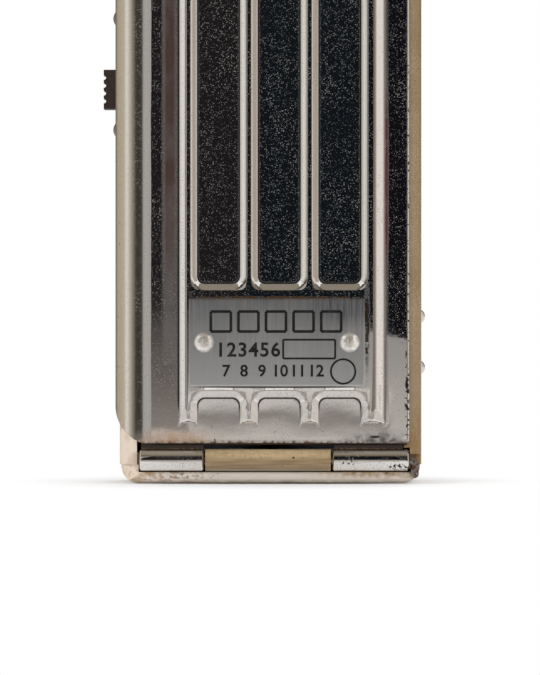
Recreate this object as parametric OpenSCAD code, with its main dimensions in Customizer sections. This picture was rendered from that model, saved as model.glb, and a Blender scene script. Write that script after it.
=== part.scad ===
// Hand signal lamp: a painted sheet steel case with a plated battery door hinged along the foot of
// its back, two cells, a bulb inside a turning drum of coloured panes, a bull's-eye lens in front,
// a slide switch on the left wall and a folding carrying handle.
// Millimetres. X runs to the right as seen from behind, Y points the way the lamp shines and Z is
// up. The origin is on the table, under the middle of the case.

/* [Case] */
// Width of the case across its side walls
case_w = 76; // [75:0.5:88]
// Depth of the case from its rear face to its front wall
case_d = 44; // [43:0.5:56]
// Height of the case from the table to the top of its cap
case_h = 148; // [145:1:170]
// Thickness of the case sheet
wall = 1; // [0.8:0.1:1.3]
// Radius of the two upright edges on the left
left_edge_r = 7.5; // [5:0.5:9]
// Radius of the two upright edges on the right
right_edge_r = 4.5; // [3:0.5:6]
// Radius of the edges round the pan and the cap
base_edge_r = 4.5; // [3:0.5:5.5]
// Height of the bottom pan's outside
pan_h = 4.7; // [4:0.1:7]
// Height of the top cap's outside
cap_h = 4.7; // [4:0.1:7]
// How far the pan and the cap stand in from the face of the case wall
seam_step = 0.4; // [0.1:0.1:0.8]
// Height of the rims of pan and cap that reach up inside the case wall
rim_h = 3; // [2:0.5:4]
// Width of the lip left of the rear opening
left_lip = 4.5; // [3:0.1:4.5]
// Width of the lip right of the rear opening
right_lip = 4.5; // [3.5:0.1:5]
// Height from the top of the rear opening to the top of the case
rear_rail = 13; // [12:0.5:16]

/* [Door] */
// Thickness of the door sheet
door_sheet = 0.8; // [0.6:0.1:1]
// Gap between the door and the case
door_gap = 0.3; // [0.2:0.05:0.5]
// Straight reach of the side flange past its bend
flange_reach = 4.5; // [2:0.5:8]
// Radius of the door's cut-away left corners
door_corner_r = 10; // [6:0.5:14]
// Radius of the door's right corners
door_right_r = 1; // [0.5:0.5:3]
// Distance of the door's right edge from the face of the right wall
door_right_inset = 3.2; // [2:0.1:3.3]
// Height of the door's lower edge above the table
door_foot = 9.7; // [9.3:0.1:12]
// Distance from the top of the case down to the door's upper edge
door_head = 7; // [5:0.5:9]

/* [Ribs] */
// Height that the ribs stand out from the door
rib_rise = 1.4; // [1:0.1:2]
// Width of a rib
rib_w = 4.8; // [3.5:0.1:6]
// Width of the rib at the right end
end_rib_w = 6.4; // [5:0.1:7]
// Width of a window between ribs
window_w = 10.4; // [8:0.1:11]
// Corner radius of the windows
window_r = 1.8; // [1:0.1:3]
// Place of the middle window, right of the case's centre
panel_x = 2.2; // [0:0.1:2.5]
// Height of the tips of the ribs above the table
rib_foot = 14.6; // [13:0.1:16]
// Height of the lower edge of the name plate band
band_z = 21.4; // [20:0.1:22]
// Height of the name plate band
band_h = 28.8; // [26:0.1:34]
// Width of the band that closes the windows at the top
head_band = 4.6; // [3:0.1:6]
// Distance from the door's upper edge down to the ribs
panel_head = 12.5; // [12:0.5:16]

/* [Name plate] */
// Width of the name plate
plate_w = 44; // [40:0.5:46]
// Height of the name plate
plate_h = 22; // [18:0.5:24]
// Thickness of the name plate
plate_t = 0.5; // [0.3:0.1:0.8]
// Place of the name plate, right of the case's centre
plate_x = 1.6; // [0:0.1:2]
// Height of the middle of the name plate above the table
plate_z = 35.4; // [34:0.1:36]
// Distance between the two rivets of the name plate
plate_pitch = 36.4; // [30:0.2:38]
// Diameter of a name plate rivet's head
plate_rivet_d = 5.1; // [4:0.1:6]
// Height of a name plate rivet's head
plate_rivet_h = 1.5; // [1:0.1:2]

/* [Hinge] */
// Height of the hinge axis above the table
hinge_z = 5.9; // [5.7:0.1:6.2]
// Distance of the hinge axis behind the case's rear face
hinge_back = 0.6; // [0.4:0.1:1.2]
// Outside diameter of the hinge knuckles
knuckle_d = 5.4; // [4.6:0.1:5.6]
// Diameter of the hinge wire
pin_d = 2.1; // [1.6:0.1:2.4]
// Distance of the first knuckle from the face of the left wall
hinge_start = 5.3; // [5:0.1:8]
// Length of the door's left knuckle
left_knuckle = 15.9; // [12:0.1:18]
// Length of the door's right knuckle
right_knuckle = 19; // [15:0.1:19.5]
// Distance of the last knuckle from the face of the right wall
hinge_stop = 3.4; // [3:0.1:6]
// End gap between knuckles
knuckle_gap = 0.5; // [0.3:0.1:0.8]
// Length of the hinge wire's bent end, below the axis
pin_leg = 4.6; // [3:0.1:5]

/* [Cells] */
// Length of a cell's body
cell_h = 60; // [56:0.5:62]
// Diameter of a cell's positive cap
cap_d = 9.5; // [8:0.1:11]
// Height of a cell's positive cap
cap_rise = 1.5; // [1:0.1:2]
// Gap between the two cells
cell_gap = 0.6; // [0.4:0.1:1.2]
// Room between a cell and the side wall
cell_side = 3.7; // [3:0.1:5]
// Distance of the cells from the case's rear face
cell_back = 2.6; // [2.4:0.1:3]
// Height of the cells above the table
cell_z = 7.4; // [7:0.1:9]
// Height of the leaf spring's rivets above the table, at their middle
spring_z = 35.5; // [30:0.5:42]
// Distance between the leaf spring's rivets
spring_pitch = 13; // [10:0.5:18]
// Diameter of a leaf spring rivet's head
spring_rivet_d = 3.7; // [3:0.1:5]
// Height of a leaf spring rivet's head
spring_rivet_h = 1.4; // [1:0.1:2]

/* [Contact board] */
// Room between the cells and the contact board
contact_h = 2.5; // [2:0.1:4]
// Thickness of the contact board
board_t = 2; // [1.5:0.1:3]
// Depth of the shelf that carries the board
shelf_d = 10; // [8:0.5:12]
// Width of the shelf
shelf_w = 52; // [40:1:60]
// Thickness of the contact strips
strip_t = 0.5; // [0.4:0.1:0.8]
// Width of the contact strips
strip_w = 6; // [4:0.5:8]

/* [Bulb] */
// Diameter of the pillar that carries the bulb socket
pillar_d = 16; // [14:0.5:17]
// Height of the pillar
pillar_h = 13; // [10:0.5:16]
// Height of the bulb socket
socket_h = 10; // [8:0.5:12]
// Diameter of the bulb's screw base
bulb_base_d = 9.6; // [9:0.1:11]
// Diameter of the bulb's glass
bulb_d = 12; // [10:0.5:14]
// Gap between the mirror and the drum's posts
mirror_gap = 1.3; // [1:0.1:2]

/* [Lens] */
// Diameter of the lens
lens_d = 55; // [50:0.5:60]
// Thickness of the lens at its rim
lens_rim = 3; // [2:0.1:4]
// Width of the lens's flat rim
lens_land = 3; // [2:0.1:4]
// Height of the lens's dome above its rim
lens_rise = 8; // [5:0.5:12]
// Thickness of the rubber ring under the lens
seal_t = 1.5; // [1:0.1:2.5]
// Width of the rubber ring under the lens
seal_w = 2.5; // [2:0.1:4]
// Thickness of the collar round the lens
collar_t = 1; // [0.8:0.1:1.5]
// Thickness of the bezel's wall
bezel_t = 1.6; // [1.2:0.1:2.5]
// Thickness of the bezel's front lip
bezel_lip = 1.5; // [1:0.1:2.5]

/* [Colour drum] */
// Diameter of the drum
drum_d = 34; // [33:0.5:35]
// Share of the spare depth that lies in front of the drum
drum_forward = 0.65; // [0.5:0.05:0.75]
// Height of the coloured panes
pane_h = 37; // [32:0.5:40]
// Thickness of the coloured panes
pane_t = 1; // [0.6:0.1:1.5]
// Thickness of the drum's end plates
drum_plate = 1.5; // [1:0.1:2.5]
// Width of the drum's posts, as an angle
post_deg = 14; // [10:1:20]
// Room round the pillar in the bore of the drum's lower plate
bore_room = 2.5; // [2:0.1:4]
// Diameter of the selector shaft
shaft_d = 6; // [5:0.1:7]
// Diameter of the selector knob
knob_d = 22; // [18:0.5:26]
// Height of the selector knob
knob_h = 8; // [6:0.5:10]
// Diameter of the colour dial under the knob
dial_d = 30; // [26:0.5:31]
// Thickness of the colour dial
dial_t = 0.6; // [0.4:0.1:1]
// Diameter of the bush in the cap
bush_d = 10; // [9:0.1:12]

/* [Switch] */
// Travel of the switch
switch_travel = 8; // [5:0.5:9]
// Length of the thumb piece
thumb_l = 10; // [8:0.5:12]
// Height of the thumb piece above its plate
thumb_h = 3.6; // [2.5:0.1:5]
// Width of the switch plate
switch_w = 11; // [10:0.5:12]
// Thickness of the switch plate
switch_plate_t = 0.8; // [0.5:0.1:1.2]

/* [Handle] */
// Distance from the top of the case down to the handle's pivots
handle_drop = 13; // [12:0.5:15]
// Height of the top of the handle's strip above its pivots
handle_rise = 57; // [50:1:70]
// Width of the handle's strip
handle_w = 10; // [8:0.5:12]
// Thickness of the handle's strip
handle_t = 2; // [1.5:0.1:3]
// Outside radius of the handle's two bends
handle_bend_r = 14; // [8:0.5:20]
// Thickness of the spacers that hold the handle off the case
spacer_t = 1.7; // [1.5:0.1:3]
// Diameter of the handle's pivots
pivot_d = 5; // [4:0.1:6]
// Diameter of the grip
grip_d = 15; // [14:0.5:20]
// Length of strip between the grip and each bend
grip_end = 2.8; // [1:0.1:8]

/* [Hidden] */
$fn = 48;

// Colours
paint = "#9D826D";
plating = "#C8C4BF";
tinplate = "#A8A8A4";
brass = "#B8964A";
steel = "#8E8F90";
bakelite = "#2A2320";
fibre = "#7A3B2C";
board = "#5A3A22";
jacket = "#3F4A58";
rubber = "#202020";
glass = "#DCE8EA";
red = "#B02018";
green = "#1E8050";

// Overrun of a cutting shape past the face that it opens
cut = 1;
// Clearance between pieces that are fastened together
fit = 0.1;
// Radial clearance of a turning fit
run_fit = 0.05;
// Radial clearance of a driven fit
drive_fit = 0.02;
// Clearance between pieces that move past each other
room = 0.4;

// Faces of the case
left = -case_w / 2;
right = case_w / 2;
rear = -case_d / 2;
front = case_d / 2;
wall_top = case_h - cap_h;
opening_top = case_h - rear_rail;
rim_in = 2 * wall + fit;
handle_z = case_h - handle_drop;

// Door
door_in = rear - door_gap;
door_out = door_in - door_sheet;
rib_out = door_out - rib_rise;
door_left = left - door_gap - door_sheet;
door_right = right - door_right_inset;
door_top = case_h - door_head;
bend_x = left + left_edge_r;
bend_y = rear + left_edge_r;
bend_in_r = left_edge_r + door_gap;

// Ribs
window_n = 3;
window_step = window_w + rib_w;
window_x0 = panel_x - window_w / 2 - window_step;
panel_x0 = window_x0 - rib_w;
panel_x1 = window_x0 + window_n * window_step - rib_w + end_rib_w;
panel_top = door_top - panel_head;
foot_z = rib_foot + end_rib_w / 2;

// Rivets of the name plate
plate_shank_d = 2.4;
plate_tail_d = 4;
plate_tail_h = 0.7;

// Hinge
hinge_y = rear - hinge_back;
knuckle_r = knuckle_d / 2;
left_x0 = left + hinge_start;
mid_x0 = left_x0 + left_knuckle + knuckle_gap;
hinge_end = right - hinge_stop;
right_x0 = hinge_end - right_knuckle;
mid_knuckle = right_x0 - knuckle_gap - mid_x0;
leg_x = hinge_end + knuckle_gap + pin_d / 2;
leaf_t = 0.8;
leaf_foot = 3;
leaf_gap = 1.1;

// Door catch and the tongue that snaps under it
catch_w = 12;
catch_side = 13;
catch_x = right - catch_side;
catch_t = 0.5;
catch_reach = 6;
catch_bump_r = 0.9;
catch_clear = 0.6;
catch_z = opening_top + room;
tongue_w = 16;
tongue_t = 0.8;
tongue_top = catch_z - catch_bump_r - catch_clear;
tongue_foot = 5;

// Cells and their leaf spring
cell_d = (case_w - cell_gap) / 2 - wall - cell_side;
cell_x = (cell_d + cell_gap) / 2;
cell_y = rear + cell_back + cell_d / 2;
cell_top = cell_z + cell_h;
touch = 0.05;
spring_t = 0.5;
spring_w = 10;
spring_margin = 3;
spring_arm = 7;
spring_reach = right - wall - cell_x - cell_d / 2 - room;
spring_shank_d = 2;
spring_tail_h = 0.6;
pad_t = 1;
contact_w = 12;
contact_base = 9;
contact_flat = 3;
pad_margin = 1;
pad_top = wall + pad_t;
pad_rear = cell_y - contact_w / 2 - pad_margin;
liner_t = 1;
liner_side = 7;
liner_w = case_w - 2 * liner_side;

// Contact board
board_z = cell_top + cap_rise + contact_h;
board_top = board_z + board_t;
board_back = 4;
board_rear = rear + board_back;
shelf_t = 0.8;
shelf_drop = 8;
board_screw_inset = 6;
board_screw_x = shelf_w / 2 - board_screw_inset;
board_screw_y = front - wall - shelf_d / 2;
screw_d = 2.5;
screw_head_d = 4.8;
screw_head_h = 1.6;
screw_tail = 1.5;
screw_slot = 0.8;
stud_d = 7;
lead_gap = 0.5;
lead_y = front - wall - shelf_d - lead_gap - strip_w / 2;

// Drum, bulb and lens on one level
drum_r = drum_d / 2;
drum_room = (case_d - wall - drum_d) * drum_forward;
drum_y = front - wall - drum_room - drum_r;
pillar_top = board_top + pillar_h;
socket_wall = 1.1;
socket_flange_t = 0.8;
bulb_lift = 1;
neck_h = 2.5;
neck_inset = 0.6;
neck_r = bulb_base_d / 2 - neck_inset;
bulb_glass_t = 0.6;
bulb_z = pillar_top + socket_h + neck_h + bulb_d / 2;
filament_drop = 0.5;
lens_z = bulb_z - filament_drop;
pin_r = 1.2;
pane_inset = 0.8;
pane_r = drum_r - pane_inset;
pane_n = 3;
pane_step = 360 / pane_n;
pane_gap_deg = 2;
pane_deg = pane_step - post_deg - pane_gap_deg;
first_post = 30;
post_back = 0.6;
post_in_r = pane_r - pane_t - post_back;
post_out_r = drum_r - pane_inset / 2;
drum_top = lens_z + pane_h / 2 + drum_plate;
drum_bore = pillar_d + 2 * bore_room;
hub_d = 10;
hub_h = 3;
mirror_t = 0.8;
mirror_r = post_in_r - mirror_gap - mirror_t;
arm_w = 6;
arm_t = 0.8;
arm_y = pillar_d / 2 + fit;
mirror_deg = acos(arm_y / mirror_r);
filament_w = 4;
filament_r = 0.25;

// Lens mounting, measured out from the front wall
lens_clear_d = lens_d - 2 * seal_w;
collar_in = lens_d / 2 + fit;
collar_out = collar_in + collar_t;
lens_front = seal_t + lens_rim;
bezel_in = collar_out + run_fit;
bezel_out = bezel_in + bezel_t;
bezel_h = lens_front + fit + bezel_lip;
bezel_chamfer = 0.8;
bezel_foot = 0.4;

// Selector on the cap
cap_under = case_h - wall;
detent_t = 0.5;
detent_r = 12;
detent_w = 5;
detent_ball_r = 1;
detent_ring_d = 15;
nut_d = 16;
nut_h = 2.5;
bush_flange_d = 15;
bush_flange_t = 1;
bush_tail = 0.5;
bush_foot = cap_under - detent_t - nut_h - bush_tail;
bush_top = case_h + dial_t + bush_flange_t;
knob_gap = 0.3;
knob_z = bush_top + knob_gap;
knob_top = knob_z + knob_h;
knob_roof = 2;
knob_scallops = 12;
scallop_r = 1.6;
pointer_w = 2.4;
pointer_h = 0.8;
grub_d = 3;

// Switch, from the outside of the left wall inwards
switch_y = lead_y;
switch_z = (board_top + handle_z) / 2;
stem_w = 3.4;
stem_l = 6;
slider_t = 1.2;
slider_w = 8;
slider_l = 14;
slot_clear = 0.3;
slot_l = stem_l + switch_travel + 2 * slot_clear;
slider_x = left + wall + slot_clear;
block_x = slider_x + slider_t + slot_clear;
block_t = 4;
bay_l = slider_l + switch_travel + 2 * slot_clear;
switch_foot = 6;
switch_l = bay_l + 2 * switch_foot;
switch_screw_z = (bay_l + switch_foot) / 2;
switch_rest = switch_z - switch_travel / 2;
thumb_ribs = 4;
thumb_rib_r = 0.6;

// Handle
arm_x = right + spacer_t + fit;
handle_half = arm_x + handle_t;
grip_l = 2 * (handle_half - handle_bend_r - grip_end);
handle_top = handle_z + handle_rise;
eye_rim = 1.5;
eye_d = handle_w + 2 * eye_rim;
pivot_rim = 2;
pivot_head_d = pivot_d + 2 * pivot_rim;
pivot_head_h = 1.8;
pivot_tail_h = 1.2;
spacer_rim = 2.5;
spacer_d = pivot_d + 2 * spacer_rim;

// Outline with one corner radius on the left and another on the right
module rounded(x0, x1, y0, y1, rl, rr) {
    middle = (x0 + x1) / 2;
    translate([x0 + rl, y0]) square([x1 - x0 - rl - rr, y1 - y0]);
    translate([x0, y0 + rl]) square([middle - x0, y1 - y0 - 2 * rl]);
    translate([middle, y0 + rr]) square([x1 - middle, y1 - y0 - 2 * rr]);
    for (y = [y0 + rl, y1 - rl]) translate([x0 + rl, y]) circle(rl);
    for (y = [y0 + rr, y1 - rr]) translate([x1 - rr, y]) circle(rr);
}

// The case seen from above, drawn in by an inset
module plan(inset) {
    rounded(left + inset, right - inset, rear + inset, front - inset,
            left_edge_r - inset, right_edge_r - inset);
}

// A band of the case's plan between two insets
module ring(z, h, outer, inner) {
    translate([0, 0, z]) linear_extrude(h) difference() {
        plan(outer);
        plan(inner);
    }
}

// An outline in X and Z, given its thickness between two places on Y
module across(y0, y1) {
    translate([0, y1, 0]) rotate([90, 0, 0]) linear_extrude(y1 - y0) children();
}

// Something along +X, +Y or the lens axis, drawn along Z
module along_x(x, y, z) { translate([x, y, z]) rotate([0, 90, 0]) children(); }
module along_y(x, y, z) { translate([x, y, z]) rotate([-90, 0, 0]) children(); }
module on_lens() { along_y(0, front, lens_z) children(); }
module on_drum(z) { translate([0, drum_y, z]) children(); }

// A box between two corners
module box(low, high) { translate(low) cube(high - low); }

// A tube standing on z = 0
module tube(r_out, r_in, h) {
    difference() {
        cylinder(r = r_out, h = h);
        translate([0, 0, -cut]) cylinder(r = r_in, h = h + 2 * cut);
    }
}

// A low dome on z = 0
module dome(d, h) {
    ball_r = (d * d / 4 + h * h) / (2 * h);
    intersection() {
        translate([0, 0, h - ball_r]) sphere(ball_r);
        cylinder(d = d + cut, h = h + cut);
    }
}

// A rivet with its domed head above z = 0 and a flat tail below the sheets that it holds
module rivet(head_d, head_h, shank_d, grip, tail_d, tail_h) {
    dome(head_d, head_h);
    translate([0, 0, -grip]) cylinder(d = shank_d, h = grip);
    translate([0, 0, -grip - tail_h]) cylinder(d = tail_d, h = tail_h);
}

// A slotted screw with its head above z = 0
module screw(shank_l) {
    difference() {
        union() {
            dome(screw_head_d, screw_head_h);
            translate([0, 0, -shank_l]) cylinder(d = screw_d, h = shank_l);
        }
        box([-screw_head_d, -screw_slot / 2, screw_head_h / 2],
            [screw_head_d, screw_slot / 2, 2 * screw_head_h]);
    }
}

// Upright section of a block whose lower edges are rounded
module foot_section(half, z0, r) {
    translate([-half, z0 + r]) square([2 * half, case_h]);
    translate([r - half, z0]) square([2 * (half - r), case_h]);
    for (s = [-1, 1]) translate([s * (half - r), z0 + r]) circle(r);
}

// A block on the case's plan with rounded lower edges
module rounded_block(inset, z0, z1, r) {
    intersection() {
        translate([0, 0, z0]) linear_extrude(z1 - z0) plan(inset);
        across(-case_d, case_d) foot_section(case_w / 2 - inset, z0, r);
        rotate([0, 0, 90]) across(-case_w, case_w) foot_section(case_d / 2 - inset, z0, r);
    }
}

// The pressed cover that closes an end of the case, standing on z = 0
module end_cover(h) {
    difference() {
        rounded_block(seam_step, 0, h, base_edge_r);
        rounded_block(seam_step + wall, wall, h + cut, base_edge_r - wall);
    }
    ring(h - wall, wall, seam_step, rim_in);
    ring(h - wall, wall + rim_h, wall + fit, rim_in);
}

// Space that the hinge takes out of the case's lower rear edge
module hinge_bay() {
    y0 = rear - knuckle_d;
    y1 = hinge_y + knuckle_r + room;
    foot = hinge_z - knuckle_r - room;
    box([left_x0 - room, y0, foot], [hinge_end + room, y1, hinge_z + knuckle_r + room]);
    box([hinge_end, y0, foot], [leg_x + pin_d / 2 + room, y1, hinge_z + pin_d / 2 + room]);
}

// Case and its covers

module case_body() {
    color(paint) difference() {
        ring(pan_h, wall_top - pan_h, 0, wall);
        box([left + left_lip, rear - cut, pan_h - cut],
            [right - right_lip, bend_y, opening_top]);
        hinge_bay();
        along_y(0, front - wall - cut, lens_z) cylinder(d = lens_clear_d, h = wall + 2 * cut);
        box([left - cut, switch_y - stem_w / 2 - slot_clear, switch_z - slot_l / 2],
            [left + wall + cut, switch_y + stem_w / 2 + slot_clear, switch_z + slot_l / 2]);
        for (s = [-1, 1]) {
            along_x(left - cut, switch_y, switch_z + s * switch_screw_z)
                cylinder(d = screw_d + 2 * fit, h = wall + 2 * cut);
            along_x(right - wall - cut, cell_y, spring_z + s * spring_pitch / 2)
                cylinder(d = spring_shank_d + 2 * drive_fit, h = wall + 2 * cut);
        }
        along_x(left - cut, 0, handle_z) cylinder(d = pivot_d + 2 * drive_fit, h = case_w + 2 * cut);
    }
}

module bottom_pan() {
    color(paint) difference() {
        end_cover(pan_h);
        hinge_bay();
    }
}

module top_cap() {
    color(paint) difference() {
        translate([0, 0, case_h]) mirror([0, 0, 1]) end_cover(cap_h);
        on_drum(cap_under - cut) cylinder(d = bush_d + 2 * fit, h = wall + 2 * cut);
    }
}

// Hinge and catch

module knuckle(x0, l) { along_x(x0, hinge_y, hinge_z) cylinder(r = knuckle_r, h = l); }

module hinge_leaf() {
    strap_z = hinge_z - knuckle_r;
    leaf_y = pad_rear - leaf_gap - leaf_foot;
    x1 = mid_x0 + mid_knuckle;
    color(paint) difference() {
        union() {
            knuckle(mid_x0, mid_knuckle);
            box([mid_x0, hinge_y, strap_z], [x1, leaf_y + leaf_t, strap_z + leaf_t]);
            box([mid_x0, leaf_y, wall], [x1, leaf_y + leaf_t, strap_z + leaf_t]);
            box([mid_x0, leaf_y, wall], [x1, leaf_y + leaf_foot, wall + leaf_t]);
        }
        along_x(mid_x0 - cut, hinge_y, hinge_z)
            cylinder(d = pin_d + 2 * drive_fit, h = mid_knuckle + 2 * cut);
    }
}

module hinge_pin() {
    color(steel) {
        along_x(left_x0, hinge_y, hinge_z) cylinder(d = pin_d, h = leg_x - left_x0);
        translate([leg_x, hinge_y, hinge_z]) sphere(d = pin_d);
        translate([leg_x, hinge_y, hinge_z - pin_leg]) cylinder(d = pin_d, h = pin_leg);
    }
}

module door_catch() {
    x0 = catch_x - catch_w / 2;
    x1 = catch_x + catch_w / 2;
    y0 = rear + wall;
    color(steel) {
        box([x0, y0, catch_z], [x1, y0 + catch_t, wall_top - rim_h - room]);
        box([x0, y0, catch_z], [x1, y0 + catch_reach, catch_z + catch_t]);
        along_x(catch_x - catch_w / 4, y0 + catch_reach / 2, catch_z)
            cylinder(r = catch_bump_r, h = catch_w / 2);
    }
}

// Door

// The door sheet seen from above
module door_plan() {
    translate([bend_x, door_out]) square([door_right - bend_x, door_sheet]);
    translate([bend_x, bend_y]) intersection() {
        difference() {
            circle(bend_in_r + door_sheet);
            circle(bend_in_r);
        }
        translate([-2 * bend_in_r, -2 * bend_in_r]) square(2 * bend_in_r);
    }
    translate([door_left, bend_y]) square([door_sheet, flange_reach]);
}

// A window between two ribs, grown by an inset
module window(i, z0, z1, inset) {
    x0 = window_x0 + i * window_step;
    rounded(x0 - inset, x0 + window_w + inset, z0 - inset, z1 + inset, window_r + inset, window_r + inset);
}

// The raised ribs and bands, drawn in by an inset
module rib_pattern(inset) {
    difference() {
        translate([panel_x0 + inset, foot_z])
            square([panel_x1 - panel_x0 - 2 * inset, panel_top - inset - foot_z]);
        for (i = [0 : window_n - 1]) {
            window(i, band_z + band_h, panel_top - head_band, inset);
            window(i, foot_z - band_h, band_z, inset);
        }
    }
    for (i = [0 : window_n - 1])
        translate([panel_x0 + rib_w / 2 + i * window_step, foot_z]) circle(rib_w / 2 - inset);
    translate([panel_x1 - end_rib_w / 2, foot_z]) circle(end_rib_w / 2 - inset);
}

module door_panel() {
    color(plating) difference() {
        union() {
            intersection() {
                translate([0, 0, door_foot]) linear_extrude(door_top - door_foot) door_plan();
                across(rib_out, front)
                    rounded(door_left, door_right, door_foot, door_top, door_corner_r, door_right_r);
            }
            across(rib_out, door_in) rib_pattern(0);
            for (k = [[left_x0, left_knuckle], [right_x0, right_knuckle]]) {
                knuckle(k[0], k[1]);
                box([k[0], door_out, hinge_z], [k[0] + k[1], door_in, door_foot + cut]);
            }
        }
        across(rib_out + door_sheet, door_in + cut) rib_pattern(door_sheet);
        along_x(left_x0 - cut, hinge_y, hinge_z)
            cylinder(d = pin_d + 2 * run_fit, h = hinge_end - left_x0 + 2 * cut);
        for (s = [-1, 1])
            along_y(plate_x + s * plate_pitch / 2, rib_out - cut, plate_z)
                cylinder(d = plate_shank_d + 2 * drive_fit, h = door_sheet + 2 * cut);
    }
}

module door_tongue() {
    x0 = catch_x - tongue_w / 2;
    x1 = catch_x + tongue_w / 2;
    slot = catch_w / 4 + room;
    bump_y = rear + wall + catch_reach / 2;
    color(steel) difference() {
        union() {
            box([x0, door_in, tongue_top - tongue_foot], [x1, door_in + tongue_t, tongue_top]);
            box([x0, door_in, tongue_top - tongue_t], [x1, rear + wall + catch_reach, tongue_top]);
        }
        box([catch_x - slot, bump_y - catch_bump_r, tongue_top - tongue_t - cut],
            [catch_x + slot, bump_y + catch_bump_r, tongue_top + cut]);
    }
}

module name_plate() {
    color(tinplate) difference() {
        box([plate_x - plate_w / 2, rib_out - plate_t, plate_z - plate_h / 2],
            [plate_x + plate_w / 2, rib_out, plate_z + plate_h / 2]);
        for (s = [-1, 1])
            along_y(plate_x + s * plate_pitch / 2, rib_out - plate_t - cut, plate_z)
                cylinder(d = plate_shank_d + 2 * drive_fit, h = plate_t + 2 * cut);
    }
}

module name_plate_rivets() {
    color(plating) for (s = [-1, 1])
        translate([plate_x + s * plate_pitch / 2, rib_out - plate_t, plate_z]) rotate([90, 0, 0])
            rivet(plate_rivet_d, plate_rivet_h, plate_shank_d, plate_t + door_sheet,
                  plate_tail_d, plate_tail_h);
}

// Cells

module cell_spring() {
    flat = spring_pitch / 2 + spring_margin;
    tip = flat + spring_arm;
    color(steel) difference() {
        translate([right - wall, cell_y, spring_z]) across(-spring_w / 2, spring_w / 2) polygon([
            [0, -flat], [0, flat], [spring_t - spring_reach, tip], [-spring_reach, tip],
            [-spring_t, flat], [-spring_t, -flat], [-spring_reach, -tip], [spring_t - spring_reach, -tip]
        ]);
        for (s = [-1, 1])
            along_x(right - wall - spring_t - cut, cell_y, spring_z + s * spring_pitch / 2)
                cylinder(d = spring_shank_d + 2 * drive_fit, h = spring_t + 2 * cut);
    }
}

module cell_spring_rivets() {
    color(plating) for (s = [-1, 1]) along_x(right, cell_y, spring_z + s * spring_pitch / 2)
        rivet(spring_rivet_d, spring_rivet_h, spring_shank_d, wall + spring_t,
              spring_rivet_d, spring_tail_h);
}

module fibre_pad() {
    color(fibre) box([-cell_x - cell_d / 2 + pad_margin, pad_rear, wall],
                     [cell_x + cell_d / 2 - pad_margin, cell_y + contact_w / 2 + pad_margin, pad_top]);
}

module bridge_contact() {
    left_z = cell_z - touch;
    right_z = cell_z - cap_rise - touch;
    near = cell_x - contact_flat;
    far = cell_x + contact_flat;
    color(brass) across(cell_y - contact_w / 2, cell_y + contact_w / 2) polygon([
        [-far, left_z - strip_t], [-near, left_z - strip_t],
        [-contact_base, pad_top], [contact_base, pad_top],
        [near, right_z - strip_t], [far, right_z - strip_t], [far, right_z], [near, right_z],
        [contact_base, pad_top + strip_t], [-contact_base, pad_top + strip_t],
        [-near, left_z], [-far, left_z]
    ]);
}

// A cell standing on z = 0 with its positive cap up
module cell() {
    cylinder(d = cell_d, h = cell_h);
    translate([0, 0, cell_h - cut]) cylinder(d = cap_d, h = cap_rise + cut);
}

module cell_left() { color(jacket) translate([-cell_x, cell_y, cell_z]) cell(); }

module cell_right() { color(jacket) translate([cell_x, cell_y, cell_top]) rotate([180, 0, 0]) cell(); }

module battery_liner() {
    y0 = cell_y + cell_d / 2 + room;
    y1 = front - wall - fit;
    top = board_z - shelf_drop - room;
    color(fibre) {
        box([-liner_w / 2, y0, pad_top], [liner_w / 2, y0 + liner_t, top]);
        for (x = [-liner_w / 2, liner_w / 2 - liner_t])
            box([x, y0, pan_h + rim_h + room], [x + liner_t, y1, top]);
    }
}

// Contact board and strips

module board_shelf() {
    y1 = front - wall;
    color(steel) difference() {
        union() {
            box([-shelf_w / 2, y1 - shelf_d, board_z - shelf_t], [shelf_w / 2, y1, board_z]);
            box([-shelf_w / 2, y1 - shelf_t, board_z - shelf_drop], [shelf_w / 2, y1, board_z]);
        }
        for (s = [-1, 1]) translate([s * board_screw_x, board_screw_y, board_z - shelf_t - cut])
            cylinder(d = screw_d + 2 * drive_fit, h = shelf_t + 2 * cut);
    }
}

module contact_board() {
    color(board) difference() {
        translate([0, 0, board_z]) linear_extrude(board_t) intersection() {
            plan(wall + 3 * fit);
            translate([left, board_rear]) square([case_w, case_d]);
        }
        for (s = [-1, 1]) translate([s * board_screw_x, board_screw_y, board_z - cut])
            cylinder(d = screw_d + 2 * fit, h = board_t + 2 * cut);
        on_drum(board_z - cut) cylinder(r = pin_r + fit, h = board_t + 2 * cut);
        box([block_x - fit, lead_y - strip_w / 2 - fit, board_z - cut],
            [block_x + strip_t + fit, lead_y + strip_w / 2 + fit, board_top + cut]);
    }
}

module board_screws() {
    color(steel) {
        translate([-board_screw_x, board_screw_y, board_top]) screw(board_t + shelf_t + screw_tail);
        translate([board_screw_x, board_screw_y, board_top + strip_t])
            screw(strip_t + board_t + shelf_t + screw_tail);
    }
}

module positive_contact() {
    z0 = board_z - strip_t;
    y_low = min(cell_y, drum_y) - strip_w / 2;
    y_high = max(cell_y, drum_y) + strip_w / 2;
    color(brass) difference() {
        union() {
            box([-cell_x - strip_w / 2, cell_y - strip_w / 2, z0],
                [strip_w / 2, cell_y + strip_w / 2, board_z]);
            box([-strip_w / 2, y_low, z0], [strip_w / 2, y_high, board_z]);
            translate([-cell_x, cell_y, cell_top + cap_rise + touch])
                cylinder(d = stud_d, h = contact_h - touch - strip_t / 2);
        }
        on_drum(z0 - cut) cylinder(r = pin_r + drive_fit, h = strip_t + 2 * cut);
    }
}

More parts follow.
